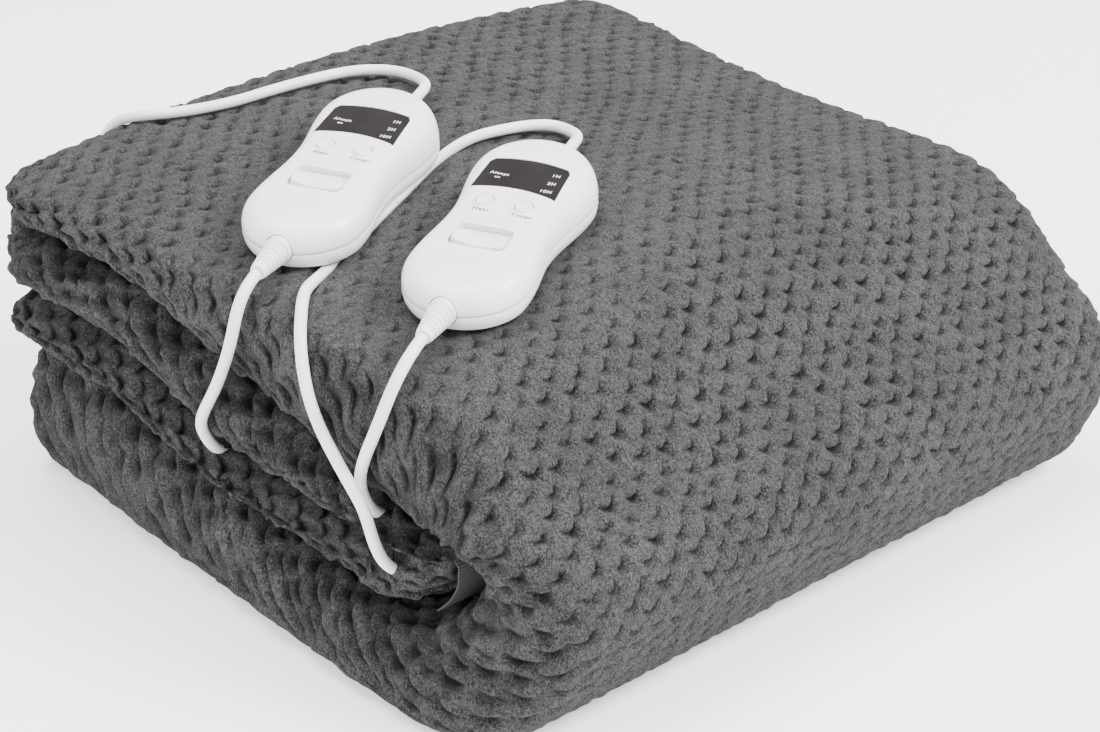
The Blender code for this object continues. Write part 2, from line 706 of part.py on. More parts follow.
def make_plug(materials, parts):
    """A flat two-pin plug, lying on the ground."""
    frame = Matrix.Translation(PLUG_TIP) @ Matrix.Rotation(PLUG_HEADING, 4, "Z")
    outline = [(x, -y) for x, y in PLUG_OUTLINE] + [(x, y) for x, y in reversed(PLUG_OUTLINE)]
    body = place("mains_plug", plate("plug", outline, -PLUG_THICK / 2, PLUG_THICK / 2),
                 materials["white_shell"], parts, frame)
    bevel(body, PLUG_BEVEL, 3)
    for suffix, side in (("a", -1), ("b", 1)):
        spot = Matrix.Translation((PLUG_OUTLINE[-1][0] + FIT, side * PIN_SPREAD, 0))
        pin = place("plug_pin_" + suffix, disc("pin", PIN_RADIUS, 0, PIN_LENGTH, 16),
                    materials["pin_metal"], parts,
                    frame @ spot @ Matrix.Rotation(math.pi / 2, 4, "Y"))
        smooth(pin)
        bevel(pin, 0.0006, 1)


def main():
    for item in list(bpy.data.objects):
        bpy.data.objects.remove(item, do_unlink=True)
    parts = bpy.data.collections.new(COLLECTION)
    cutters = bpy.data.collections.new("cutters")
    for collection in (parts, cutters):
        bpy.context.scene.collection.children.link(collection)
    materials = {name: make_material(name, *values) for name, values in MATERIALS.items()}

    blanket = place("blanket", loft("blanket", blanket_rings()), materials["grey_plush"], parts)
    smooth(blanket)
    first, last = GROOVE_POINTS
    groove = loft("groove", groove_rings(along_route(UPPER_ROUTE[first:last], GROOVE_SPACING)))
    cut(blanket, make_cutter("cord_groove", groove, cutters, Matrix.Identity(4)))
    place("edge_binding", loft("binding", binding_rings()), materials["ribbed_tape"], parts)

    for name, x, y in CONTROLLERS:
        make_controller(name, seat_frame(x, y), materials, parts, cutters)
    for name, route in CORDS + (("mains_tail", TAIL_ROUTE),):
        place(name, tube(name, along_route(route, POINT_SPACING), CORD_RADIUS),
              materials["white_cord"], parts)
    make_coil(materials, parts)
    make_plug(materials, parts)


main()
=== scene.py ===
"""Looks of the folded electric heated blanket and its two hand controllers.

Everything is in metres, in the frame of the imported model: +Z up, origin at
the bottom centre of the blanket.  The wide rounded fold faces -Y, and the
rounded sides of the layers face -X and +X.
"""

import math

import bmesh
import bpy
import numpy as np
from mathutils import Matrix, Vector


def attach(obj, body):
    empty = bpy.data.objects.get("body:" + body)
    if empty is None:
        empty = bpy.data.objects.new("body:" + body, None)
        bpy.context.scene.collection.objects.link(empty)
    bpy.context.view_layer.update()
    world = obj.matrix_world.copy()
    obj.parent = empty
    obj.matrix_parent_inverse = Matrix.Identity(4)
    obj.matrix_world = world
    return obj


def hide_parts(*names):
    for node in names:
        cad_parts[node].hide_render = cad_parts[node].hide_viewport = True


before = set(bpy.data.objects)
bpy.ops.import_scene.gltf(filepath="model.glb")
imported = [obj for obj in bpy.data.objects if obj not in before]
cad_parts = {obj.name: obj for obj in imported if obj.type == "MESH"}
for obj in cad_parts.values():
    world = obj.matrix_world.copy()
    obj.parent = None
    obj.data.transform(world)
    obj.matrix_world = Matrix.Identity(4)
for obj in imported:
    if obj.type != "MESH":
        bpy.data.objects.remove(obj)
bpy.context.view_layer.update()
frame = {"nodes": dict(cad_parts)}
BODY = "blanket_and_cases"

# --- Camera: the photograph's angle ---

PHOTO_WIDTH = 1100
SENSOR = 36.0
FOCAL_PIXELS = 2600
CAMERA_AZIMUTH = math.radians(-42)
CAMERA_ELEVATION = math.radians(27.5)
CAMERA_TARGET = Vector((-0.021, -0.020, 0.070))
CAMERA_DISTANCE = 1.215

# --- Light and floor ---

LIGHT_TARGET = Vector((0, 0, 0.08))
LIGHTS = (
    # name    place               size  power
    ("key",  (1.1, -1.5, 1.9),    1.0,  165),
    ("top",  (-0.2, 0.4, 2.4),    1.5,  95),
    ("fill", (-1.8, -0.5, 0.9),   1.2,  28),
)
SKY = 1.10                # strength of the even white sky
FLOOR_HALF = 4.0
FLOOR_LOW = 0.0002        # below the blanket

# --- Cords ---

CORD_RADIUS = 0.0026
CORD_SPACING = 0.003
ROUTE_FINE = 0.001        # between the points while a route is smoothed
ROUTE_EASING = 60
LEAD_ROUTE = (
    (-0.0250, 0.0706, 0.1777), (-0.0180, 0.0742, 0.1784), (-0.0080, 0.0830, 0.1765),
    (0.0000, 0.0960, 0.1735), (0.0042, 0.1110, 0.1712), (0.0030, 0.1250, 0.1698),
    (-0.0110, 0.1360, 0.1698), (-0.0340, 0.1405, 0.1697), (-0.0560, 0.1433, 0.1690),
    (-0.0755, 0.1457, 0.1679), (-0.0940, 0.1530, 0.1664), (-0.1080, 0.1630, 0.1649),
    (-0.1150, 0.1750, 0.1621), (-0.1190, 0.1862, 0.1560), (-0.1205, 0.1945, 0.1430),
    (-0.1200, 0.1956, 0.1250), (-0.1180, 0.1960, 0.0950), (-0.1150, 0.1960, 0.0600),
    (-0.1100, 0.1975, 0.0300), (-0.1030, 0.2010, 0.0110), (-0.0930, 0.2050, 0.0042),
    (-0.0790, 0.2090, 0.0034), (-0.0600, 0.2130, 0.0034), (-0.0380, 0.2155, 0.0034),
    (-0.0150, 0.2162, 0.0034), (0.0080, 0.2163, 0.0036), (0.0275, 0.2177, 0.0050),
)
UPPER_ROUTE = (
    (-0.0058, -0.0154, 0.1732), (0.0010, -0.0119, 0.1738), (0.0110, -0.0040, 0.1718),
    (0.0168, 0.0075, 0.1694), (0.0165, 0.0180, 0.1694), (0.0080, 0.0255, 0.1694),
    (-0.0060, 0.0300, 0.1694), (-0.0200, 0.0337, 0.1688), (-0.0310, 0.0362, 0.1652),
    (-0.0415, 0.0370, 0.1608), (-0.0630, 0.0277, 0.1585), (-0.0850, 0.0182, 0.1561),
    (-0.1070, 0.0087, 0.1537), (-0.1290, -0.0008, 0.1513), (-0.1420, -0.0068, 0.1502),
    (-0.1510, -0.0125, 0.1518), (-0.1610, -0.0210, 0.1538), (-0.1700, -0.0310, 0.1525),
    (-0.1798, -0.0425, 0.1442), (-0.1835, -0.0500, 0.1290), (-0.1848, -0.0585, 0.1160),
    (-0.1870, -0.0720, 0.1065), (-0.1880, -0.0840, 0.0976), (-0.1870, -0.0915, 0.0890),
    (-0.1860, -0.0942, 0.0770), (-0.1805, -0.0938, 0.0630),
)
FRONT_ROUTE = (
    (-0.1536, -0.0901, 0.1560), (-0.1605, -0.0936, 0.1551), (-0.1690, -0.0960, 0.1500),
    (-0.1760, -0.0960, 0.1400), (-0.1800, -0.0930, 0.1265), (-0.1815, -0.0880, 0.1145),
    (-0.1812, -0.0820, 0.1015), (-0.1795, -0.0790, 0.0910), (-0.1750, -0.0775, 0.0810),
)
BACK_ROUTE = (
    (-0.1732, -0.0043, 0.1605), (-0.1797, -0.0076, 0.1595), (-0.1870, -0.0098, 0.1525),
    (-0.1897, -0.0085, 0.1400), (-0.1900, -0.0030, 0.1260), (-0.1900, 0.0060, 0.1090),
    (-0.1900, 0.0145, 0.0960), (-0.1900, 0.0210, 0.0845), (-0.1835, 0.0235, 0.0715),
)
TAIL_ROUTE = (
    (0.0440, 0.2926, 0.0060), (0.0300, 0.2960, 0.0042), (0.0120, 0.2966, 0.0042),
    (-0.0060, 0.2950, 0.0064), (-0.0199, 0.2930, 0.0070),
)
# Where the three short cords go on into the cloth, past the ends of their solids.
UPPER_TUCKED = ((-0.1745, -0.0932, 0.0560), (-0.1670, -0.0926, 0.0520), (-0.1600, -0.0922, 0.0500))
FRONT_TUCKED = ((-0.1695, -0.0762, 0.0735), (-0.1600, -0.0750, 0.0690))
BACK_TUCKED = ((-0.1765, 0.0253, 0.0635), (-0.1665, 0.0265, 0.0595))
GROOVE_POINTS = (7, 17)   # the upper cord's points that lie pressed into the cloth
GROOVE_RADIUS = 0.0034
GROOVE_REACH = 0.012      # how far round the cord the cloth is looked at
GROOVE_BANK = 1.2         # slope of the groove's sides

# The coil of the mains lead: seven turns that lie beside and on each other.
COIL_CENTRE = Vector((0.044, 0.253, 0.0073))
COIL_RADIUS = 0.029
COIL_GAP = 0.00535        # between the centres of neighbouring turns
COIL_PLACES = (300, 240, 180, 120, None, 60, 0)   # round the middle turn, in degrees
COIL_START = -115         # where the lead comes in, in degrees round the coil
COIL_END = 90             # where it leaves for the plug
COIL_SHIFT = 70           # degrees over which one turn moves to the next place
COIL_POINTS = 60          # in each turn

# --- Blanket: the tables of the folded strip ---

SIDE_ROUND = 0.024
END_ROUND = 0.014
STRIP = (
    # one y   level   two y   level  left    right   path
    (0.164,   0.000,  0.164,  0.98, -0.190,  0.194, "flat"),
    (0.038,   0.000,  0.038,  0.98, -0.194,  0.198, "flat"),
    (-0.130,  0.000, -0.092,  0.98, -0.194,  0.202, "leave"),
    (-0.1915, 1.600, -0.129,  1.95, -0.170,  0.197, "join"),
    (-0.077,  3.975, -0.092,  3.03, -0.178,  0.202, "flat"),
    (0.038,   3.975,  0.038,  3.03, -0.188,  0.192, "flat"),
    (0.150,   3.975,  0.148,  3.03, -0.198,  0.194, "leave"),
    (0.1915,  3.000,  0.151,  2.99, -0.186,  0.192, "join"),
    (0.150,   2.060,  0.148,  2.95, -0.202,  0.194, "flat"),
    (0.038,   2.060,  0.038,  2.95, -0.188,  0.194, "flat"),
    (-0.080,  2.060, -0.080,  2.95, -0.180,  0.196, "leave"),
    (-0.085,  2.000, -0.122,  2.00, -0.174,  0.188, "join"),
    (-0.080,  1.940, -0.080,  1.06, -0.182,  0.196, "flat"),
    (0.038,   1.940,  0.038,  1.06, -0.192,  0.194, "flat"),
    (0.156,   1.940,  0.156,  1.06, -0.200,  0.192, "flat"),
)
TOP_LEVEL = 3.975
STACK = np.array((
    # y        left    middle  right    bottom  third   second
    (-0.192,   0.130,  0.134,  0.137,   0.32,   0.52,   0.74),
    (-0.102,   0.142,  0.154,  0.139,   0.22,   0.44,   0.52),
    (-0.002,   0.152,  0.164,  0.140,   0.31,   0.42,   0.65),
    (0.098,    0.155,  0.166,  0.145,   0.41,   0.61,   0.83),
    (0.198,    0.151,  0.165,  0.152,   0.47,   0.67,   0.86),
))
COLUMN_X = 0.200

SEAT_HEIGHT = 0.1648
SEAT_SLOPE = (0.08, 0.07)
SEAT_REACH = 0.042
SEAT_FADE = 0.055
AXIS_HALF = 0.045

# Pieces of the blanket: name, first and last section, how many pieces the
# stretch is divided into, and whether its outer and its inner face show.
STRETCHES = (
    ("blanket_bottom_end", 0, 0.25, 1, (True, True)),
    ("blanket_bottom", 0.25, 2, 1, (False, False)),
    ("blanket_outer", 2, 8.25, 3, (True, False)),
    ("blanket_inner", 8.25, 13.5, 1, (False, False)),
    ("blanket_inner_end", 13.5, 14, 1, (True, True)),
)
CLOTH_STEP = 0.0015       # between points of the cloth where it shows
HIDDEN_STEP = 0.008       # and between the layers
SIDE_SHOWS = 0.040        # how far in from the side the layers are fine
SIDE_STEPS = 38
END_STEPS = 12

# Tufts: a diamond lattice.  Each ends in a raised lip over a crescent-shaped
# dimple, as scales do, and turns down to the front and a little to the right.
TUFT_ACROSS = 0.0145
TUFT_ALONG = 0.0195
TUFT_TURN = math.radians(-10.5)
TUFT_FACES = math.radians(24)   # from straight to the front towards the right
TUFT_POINT = 0.75         # how steeply the two sides of the pointed lip draw back
TUFT_BLUNT = 0.0022       # how round its point is
TUFT_DEPTH = 0.0030       # of a dimple
TUFT_LIP = 0.0008
TUFT_LEAN = 0.0012        # how far the lip hangs over
LIP_DROP = 0.0018         # length of the steep side of a dimple
LIP_WIDTH = 0.0020
DIMPLE_HALF = 0.0050      # half the width of a dimple
DIMPLE_FADE = (0.0011, 0.0015)   # how slowly it comes up at its ends, and more in its middle
TUFT_WANDER = 0.0012      # how far the rows of tufts wander, and over what lengths
WANDER_LENGTHS = ((0.031, 0.023), (0.027, 0.037))
TUFT_SHIFT = (0.0013, 0.0017)   # of each tuft, across and along
TUFT_VARIES = (0.34, 0.28, 0.34)   # each tuft's direction, width and depth
QUILT_DEPTH = 0.0013      # of the shallow grooves that link the dimples
SIDE_GROWTH = 0.45        # how much deeper the dimples are round the sides, and their painted shade darker
FRONT_GROWTH = 0.18       # and down the front
SIDE_ARC = 0.0215         # length of cloth per radian round a side
END_ARC = 0.0155          # and round a free end
CLUMP_SIZE = 0.0075       # of the matted clumps round the sides
CLUMP_DEPTH = 0.0024
# painted shade: how much darker the gaps between the clumps are coloured
CLUMP_SHADE = 0.45
LUMP_HEIGHT = 0.0009      # of the slow unevenness, and its sizes
LUMP_SIZES = (0.034, 0.021, 0.013)
SQUEEZE_LEAST = 0.25      # of the relief where a fold crowds the cloth
SQUEEZE_POWER = 1.5       # how soon it sinks as the cloth gets crowded
FLOOR_FADE = 0.008        # height over which the relief comes in above the surface
TOP_FROM = 0.12           # only what is higher is pressed by the controllers
PRESSED_FLAT = 0.35       # how much they flatten the tufts
SHADE_LEAST = 0.4         # of the dimples' shade where the cloth is crowded
LIP_LIGHT = 0.15          # painted highlight: how much lighter the lips are coloured
QUILT_SHADE = 0.22        # painted shade: how much darker the quilting is coloured
SEED = 7

# --- Edge binding ---

BINDING_PATH = np.array((
    (-0.1225, 2.36), (-0.1252, 2.10), (-0.1248, 1.80), (-0.1197, 1.48), (-0.1110, 1.24),
))
BINDING_SPAN = (-0.166, -0.138)
BINDING_THICK = 0.0010
BINDING_RIB = 0.0014      # between two ribs
RIB_HEIGHT = 0.00022
RIB_STEPS = 6             # points of the tape in each rib

# --- Controllers ---

HEADING = math.radians(27)
CONTROLLERS = (
    ("a", -0.0960, 0.0350),
    ("b", -0.0768, -0.0510),
)
LIFT = 0.0003
CASE_LENGTH = 0.131
HEAD_RADIUS = 0.029
FOOT_RADIUS = 0.0278
WAIST_DEPTH = 0.0042
END_POINTS = 40
WAIST_POINTS = 20
CASE_HEIGHT = 0.023
CASE_RISE = 0.06
FACE_SHARE = 0.62
CROWN_POWER = 2 / 2.4
CROWN_STEPS = 20
FACE_STEPS = 5
FACE_SWELL = 0.0003       # how far the top face is domed
BASE_RINGS = ((0.840, 0.0), (0.935, 0.0010), (0.978, 0.0032), (1.0, 0.0068), (0.992, 0.0077))
RIM_RINGS = ((0.985, 0.0081), (1.0, 0.0089))

WINDOW_SPAN = (0.0135, 0.0365)
WINDOW_WIDTHS = (0.0385, 0.0370)
WINDOW_BOW = 0.003
WINDOW_CORNER = 0.0022
WINDOW_THICK = 0.0010
FIT = 0.0003
EDGE_POINTS = 24

BUTTON_PLACE = 0.0040
BUTTON_OFFSET = 0.0091
BUTTON_RADIUS = 0.0040
BUTTON_HEIGHT = 0.0035
BUTTON_PROUD = 0.0008
HOLE_RADIUS = 0.0044
HOLE_DEPTH = 0.0040
COLLAR = (                # past the hole's edge and up, round a button
    (0.0, -0.0002), (0.0, 0.0004), (0.0003, 0.0006), (0.0007, 0.0005), (0.0011, -0.0002),
)

RECESS_PLACE = -0.0225
RECESS_SIZE = (0.0260, 0.0165, 0.0026)
THUMB_PLACE = -0.0255
THUMB_SIZE = (0.0245, 0.0090, 0.0042)
THUMB_CORNER = 0.0036
THUMB_BOW = 0.0012        # how far its lower side is bowed
THUMB_TOP = (0.0013, 0.0009, 0.0013)   # rounding, dish and fall of its top
ROUND_CORNER = 0.0034
CORNER_POINTS = 8
DOT_PLACES = (-0.0019, 0.0, 0.0019)
DOT_ROW = -0.0172
DOT_RADIUS = 0.00042

RELIEF_HEIGHT = 0.0095
RELIEF_POCKET = (0.0066, 0.005)
HEAD_RELIEF = 0.0145
FOOT_RELIEF = 0.0195
RELIEF_RIBS = 6
ROUND_STEPS = 48
CUT_PAST = 0.010          # how far the cutters stand out of the case's ends
CUT_ABOVE = 0.004         # and of its face
SHARP_FROM = math.radians(40)

LABELS = (
    # words     x        y        size     material
    ("Always", -0.0108,  0.0260,  0.0027, "print_white"),
    ("on",     -0.0108,  0.0231,  0.0023, "print_white"),
    ("1H",      0.0135,  0.0312,  0.0030, "print_white"),
    ("2H",      0.0137,  0.0248,  0.0030, "print_white"),
    ("10H",     0.0134,  0.0184,  0.0030, "print_white"),
    ("Heat",   -0.0080, -0.0030,  0.0035, "print_grey"),
    ("Timer",   0.0104, -0.0030,  0.0035, "print_grey"),
)
PRINT_LIFT = 0.00006
PRINT_GAP = 0.00003       # under the print
PRINT_SPACING = 1.15

# Plastics: name, lighter and darker shade, and roughness.
PLASTICS = (
    ("white_shell", 0.85, 0.80, 0.30),
    ("white_keys", 0.84, 0.78, 0.40),
    ("white_cord", 0.85, 0.79, 0.45),
)


# --- Small helpers ---

def shared_slopes(before, after):
    """Slopes between two rises that keep a curve from overshooting either."""
    total = np.where(before + after == 0, 1.0, before + after)
    return np.where(before * after > 0, 2 * before * after / total, 0.0)


def on_curve(values, place):
    """Values at places, in row numbers, on a smooth curve that never overshoots.

    Each column of values may have a curve of its own, for one place each.
    """
    values = np.asarray(values, float)
    place = np.asarray(place, float)
    last = len(values) - 1
    place = np.clip(place, 0.0, last)
    row = np.minimum(place.astype(int), last - 1)

    def at(index):
        if values.ndim == 1:
            return values[index]
        return np.take_along_axis(values, index[None], 0)[0]

    here, after = at(row), at(row + 1)
    rise = after - here
    slope_in = shared_slopes(here - at(np.maximum(row - 1, 0)), rise)
    slope_out = shared_slopes(rise, at(np.minimum(row + 2, last)) - after)
    t = place - row
    return (here + t * slope_in + t ** 2 * (3 * rise - 2 * slope_in - slope_out)
            + t ** 3 * (slope_in + slope_out - 2 * rise))


def along_route(route, spacing):
    """Points at an even spacing on a smooth curve through a route."""
    knots = [Vector(point) for point in route]
    knots = [2 * knots[0] - knots[1]] + knots + [2 * knots[-1] - knots[-2]]
    fine = []
    for a, b, c, d in zip(knots, knots[1:], knots[2:], knots[3:]):
        for i in range(20):
            t = i / 20
            fine.append(b + (c - a) * t / 2 + (2 * a - 5 * b + 4 * c - d) * t * t / 2
                        + (3 * b - a - 3 * c + d) * t ** 3 / 2)
    line = even_points(np.array(fine + [knots[-2]]), ROUTE_FINE)
    for _ in range(ROUTE_EASING):
        line[1:-1] += (line[:-2] + line[2:] - 2 * line[1:-1]) / 4
    return even_points(line, spacing)


def even_points(line, spacing):
    """Points at an even spacing along a line."""
    reached = np.concatenate(([0.0], np.cumsum(np.linalg.norm(np.diff(line, axis=0), axis=1))))
    goals = np.linspace(0.0, reached[-1], max(3, round(reached[-1] / spacing) + 1))
    return np.stack([np.interp(goals, reached, values) for values in line.T], axis=1)


def smooth_step(value):
    """0 below 0, 1 above 1, and a soft step between."""
    value = np.clip(value, 0.0, 1.0)
    return value * value * (3 - 2 * value)


def route_length(points):
    """Length of a line through points."""
    return float(np.linalg.norm(np.diff(points, axis=0), axis=1).sum())


def placed(name, data, matrix=None):
    """A new object in the scene."""
    item = bpy.data.objects.new(name, data)
    bpy.context.scene.collection.objects.link(item)
    if matrix is not None:
        item.matrix_world = matrix
    return item


def baked(item, *helpers):
    """The mesh that an object shows; the object and its helpers are removed."""
    shown = item.evaluated_get(bpy.context.evaluated_depsgraph_get())
    mesh = bpy.data.meshes.new_from_object(shown)
    for used in (item, *helpers):
        bpy.data.objects.remove(used, do_unlink=True)
    return mesh


def aimed(towards):
    """Rotation of a camera or light whose back points in a direction."""
    return towards.to_track_quat("Z", "Y").to_euler()


def add_object(name, data, material, nodes=(), body=BODY, matrix=None):
    """Add a piece with one material that rides on a body and may stand for CAD nodes."""
    item = placed(name, data, matrix)
    data.materials.clear()
    data.materials.append(material)
    bpy.context.view_layer.update()
    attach(item, body)
    if nodes:
        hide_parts(*nodes)
    return item


def loft(name, rings):
    """Closed smooth mesh through rings of points, capped at both ends."""
    bm = bmesh.new()
    rings = [[bm.verts.new(point) for point in ring] for ring in rings]
    for lower, upper in zip(rings, rings[1:]):
        for i in range(len(lower)):
            j = (i + 1) % len(lower)
            bm.faces.new((lower[i], lower[j], upper[j], upper[i]))
    bm.faces.new(reversed(rings[0]))
    bm.faces.new(rings[-1])
    bmesh.ops.recalc_face_normals(bm, faces=bm.faces)
    mesh = bpy.data.meshes.new(name)
    bm.to_mesh(mesh)
    bm.free()
    mesh.shade_smooth()
    return mesh


# --- Materials ---

class Maker:
    """Builds one node material."""

    def __init__(self, name):
        self.material = bpy.data.materials.new(name)
        self.material.use_nodes = True
        self.tree = self.material.node_tree
        self.shader = self.tree.nodes["Principled BSDF"]
        self.where = self.tree.nodes.new("ShaderNodeTexCoord").outputs["Object"]

    def node(self, kind, inputs=(), **settings):
        """Add a node, with settings and input values or links."""
        node = self.tree.nodes.new(kind)
        for key, value in settings.items():
            setattr(node, key, value)
        for key, value in dict(inputs).items():
            self.put(node.inputs[key], value)
        return node

    def put(self, socket, value):
        """Link an output to a socket, or set the socket's value."""
        if isinstance(value, bpy.types.NodeSocket):
            self.tree.links.new(value, socket)
        else:
            socket.default_value = value

    def set(self, **values):
        """Set or link the shader's inputs, named with underscores for spaces."""
        for key, value in values.items():
            self.put(self.shader.inputs[key.replace("_", " ")], value)

    def noise(self, scale, detail=2.0, roughness=0.5, stretch=(1, 1, 1), distortion=0.0):
        """Noise in the object's own space."""
        mapped = self.node("ShaderNodeMapping", {"Vector": self.where, "Scale": stretch})
        return self.node("ShaderNodeTexNoise", {
            "Vector": mapped.outputs["Vector"], "Scale": scale,
            "Detail": detail, "Roughness": roughness, "Distortion": distortion}).outputs["Fac"]

    def remap(self, value, low, high, to_low=0.0, to_high=1.0):
        """Map a range of values to another."""
        return self.node("ShaderNodeMapRange", {
            "Value": value, "From Min": low, "From Max": high,
            "To Min": to_low, "To Max": to_high}).outputs["Result"]

    def math(self, operation, first, second):
        """A sum or product of two values."""
        return self.node("ShaderNodeMath", {0: first, 1: second}, operation=operation).outputs[0]

    def blend(self, share, low, high, kind="MIX"):
        """Colour between two colours, or their product."""
        node = self.node("ShaderNodeMix", {0: share}, data_type="RGBA", blend_type=kind)
        self.put(node.inputs[6], low)
        self.put(node.inputs[7], high)
        return node.outputs[2]

    def bump(self, height, distance, strength=1.0):
        """Set the shader's normal from a height."""
        node = self.node("ShaderNodeBump", {
            "Height": height, "Distance": distance, "Strength": strength})
        self.set(Normal=node.outputs["Normal"])


def plush_material():
    """Grey plush: curly, fibrous light tips, with painted shade in the dimples, quilting and gaps
    between clumps, and a painted highlight on the lips.
    """
    make = Maker("grey_plush")
    painted_shading = make.node("ShaderNodeAttribute", attribute_name="painted_shading").outputs["Fac"]
    curl = make.noise(900.0, 3.0, 0.7, (1.0, 0.55, 0.55), 1.6)
    fibre = make.noise(1500.0, 2.0, 0.6, (1.0, 1.0, 0.6), 0.8)
    clump = make.noise(360.0, 2.0, 0.6, (1, 1, 1), 0.6)
    patch = make.noise(28.0, 2.0, 0.5)
    both = make.math("ADD", make.math("MULTIPLY", curl, 0.48), make.math("MULTIPLY", fibre, 0.42))
    grain = make.math("ADD", both, make.math("MULTIPLY", clump, 0.10))
    shade = make.remap(grain, 0.41, 0.59)
    crown = make.blend(shade, (0.0140, 0.0138, 0.0144, 1), (0.0920, 0.0902, 0.0920, 1))
    worn = make.blend(make.remap(patch, 0.35, 0.65),
                      (0.86, 0.86, 0.87, 1), (1.06, 1.05, 1.05, 1))
    tinted = make.blend(1.0, crown, worn, "MULTIPLY")
    fuzzy = make.math("ADD", painted_shading, make.remap(grain, 0.38, 0.62, -0.25, 0.25))
    # Base colour from the blanket's point attribute: painted shade in the dimples, the quilting and
    # the gaps between clumps, and a painted highlight on the lips.
    make.set(Base_Color=make.blend(make.remap(fuzzy, 0.05, 0.90),
                                   (0.0075, 0.0074, 0.0080, 1), tinted),
             Roughness=0.95, Sheen_Weight=0.06, Sheen_Roughness=0.5,
             Sheen_Tint=(0.8, 0.8, 0.82, 1), Specular_IOR_Level=0.08)
    make.bump(grain, 0.0024, 1.0)
    return make.material


def tape_material():
    """Grey-brown woven tape with fine threads."""
    make = Maker("ribbed_tape")
    thread = make.noise(1500.0, 2.0, 0.6)
    make.set(Base_Color=make.blend(thread, (0.026, 0.0235, 0.0222, 1), (0.060, 0.0555, 0.0525, 1)),
             Roughness=0.8, Sheen_Weight=0.08)
    make.bump(thread, 0.0002, 0.6)
    return make.material


def plastic_material(name, light, dark, roughness):
    """Moulded plastic with a faint orange-peel and a slightly uneven gloss."""
    make = Maker(name)
    light, dark = (light, light, light, 1), (dark, dark, dark, 1)
    peel = make.noise(900.0, 2.0, 0.5)
    cloud = make.noise(45.0, 2.0, 0.5)
    make.set(Base_Color=make.blend(make.remap(cloud, 0.35, 0.65), dark, light),
             Roughness=make.remap(cloud, 0.3, 0.7, roughness - 0.04, roughness + 0.05),
             Coat_Weight=0.15, Coat_Roughness=0.3, Specular_IOR_Level=0.45)
    make.bump(peel, 0.00006, 0.35)
    return make.material


def glass_material():
    """Smoked display window: dark brown, mottled at random with greyer patches."""
    make = Maker("dark_window")
    cloud = make.noise(38.0, 1.0, 0.4)
    make.set(Base_Color=make.blend(make.remap(cloud, 0.3, 0.7),
                                   (0.0085, 0.0065, 0.0062, 1), (0.0150, 0.0130, 0.0135, 1)),
             Roughness=make.remap(cloud, 0.3, 0.7, 0.20, 0.26), Specular_IOR_Level=0.14)
    return make.material


def print_material(name, colour, glow):
    """Printed lettering, with slightly uneven ink and a painted glow of the given strength."""
    make = Maker(name)
    ink = make.noise(2200.0, 1.0, 0.5)
    faded = tuple(0.8 * value for value in colour[:3]) + (1,)
    make.set(Base_Color=make.blend(ink, faded, colour), Roughness=0.5,
             Emission_Color=colour, Emission_Strength=glow)
    return make.material


def metal_material():
    """Plated plug pins with fine drawing marks."""
    make = Maker("pin_metal")
    marks = make.noise(600.0, 2.0, 0.5, (1, 8, 8))
    make.set(Base_Color=make.blend(marks, (0.55, 0.54, 0.50, 1), (0.72, 0.70, 0.66, 1)),
             Metallic=1.0, Roughness=make.remap(marks, 0.3, 0.7, 0.22, 0.36))
    return make.material


def floor_material():
    """Plain pale floor."""
    make = Maker("pale_floor")
    make.set(Base_Color=(0.93, 0.93, 0.93, 1), Roughness=0.75, Specular_IOR_Level=0.2,
             Emission_Color=(1, 1, 1, 1), Emission_Strength=0.7)
    return make.material


# --- Camera, light and floor ---

def add_camera():
    """The photograph's camera."""
    data = bpy.data.cameras.new("photo_camera")
    data.sensor_width = SENSOR
    data.lens = FOCAL_PIXELS * SENSOR / PHOTO_WIDTH
    camera = placed("photo_camera", data)
    level = math.cos(CAMERA_ELEVATION)
    back = Vector((math.sin(CAMERA_AZIMUTH) * level, -math.cos(CAMERA_AZIMUTH) * level,
                   math.sin(CAMERA_ELEVATION)))
    camera.location = CAMERA_TARGET + back * CAMERA_DISTANCE
    camera.rotation_euler = aimed(back)
    bpy.context.scene.camera = camera


def add_light(name, place, size, power):
    """A soft square light that points at the blanket."""
    data = bpy.data.lights.new(name, "AREA")
    data.size = size
    data.energy = power
    light = placed(name, data)
    light.location = place
    light.rotation_euler = aimed(Vector(place) - LIGHT_TARGET)


def add_surroundings():
    """Pale floor, soft studio lights and an even sky."""
    mesh = bpy.data.meshes.new("floor")
    corners = [(x * FLOOR_HALF, y * FLOOR_HALF, 0) for x, y in ((-1, -1), (1, -1), (1, 1), (-1, 1))]
    mesh.from_pydata(corners, [], [(0, 1, 2, 3)])
    mesh.materials.append(floor_material())
    floor = placed("floor", mesh)
    floor.location.z = -FLOOR_LOW
    world = bpy.data.worlds.new("studio")
    world.use_nodes = True
    sky = world.node_tree.nodes["Background"].inputs
    sky["Color"].default_value = (1.0, 1.0, 1.0, 1)
    sky["Strength"].default_value = SKY
    bpy.context.scene.world = world
    for light in LIGHTS:
        add_light(*light)


# --- Cords ---

def tube(name, points, material, nodes):
    """A round cord through points that stands for CAD nodes."""
    curve = bpy.data.curves.new(name, "CURVE")
    curve.dimensions = "3D"
    curve.bevel_depth = CORD_RADIUS
    curve.bevel_resolution = 5
    curve.use_fill_caps = True
    spline = curve.splines.new("POLY")
    spline.points.add(len(points) - 1)
    for target, point in zip(spline.points, points):
        target.co = (*point, 1)
    spline.use_smooth = True
    return add_object(name, curve, material, nodes)


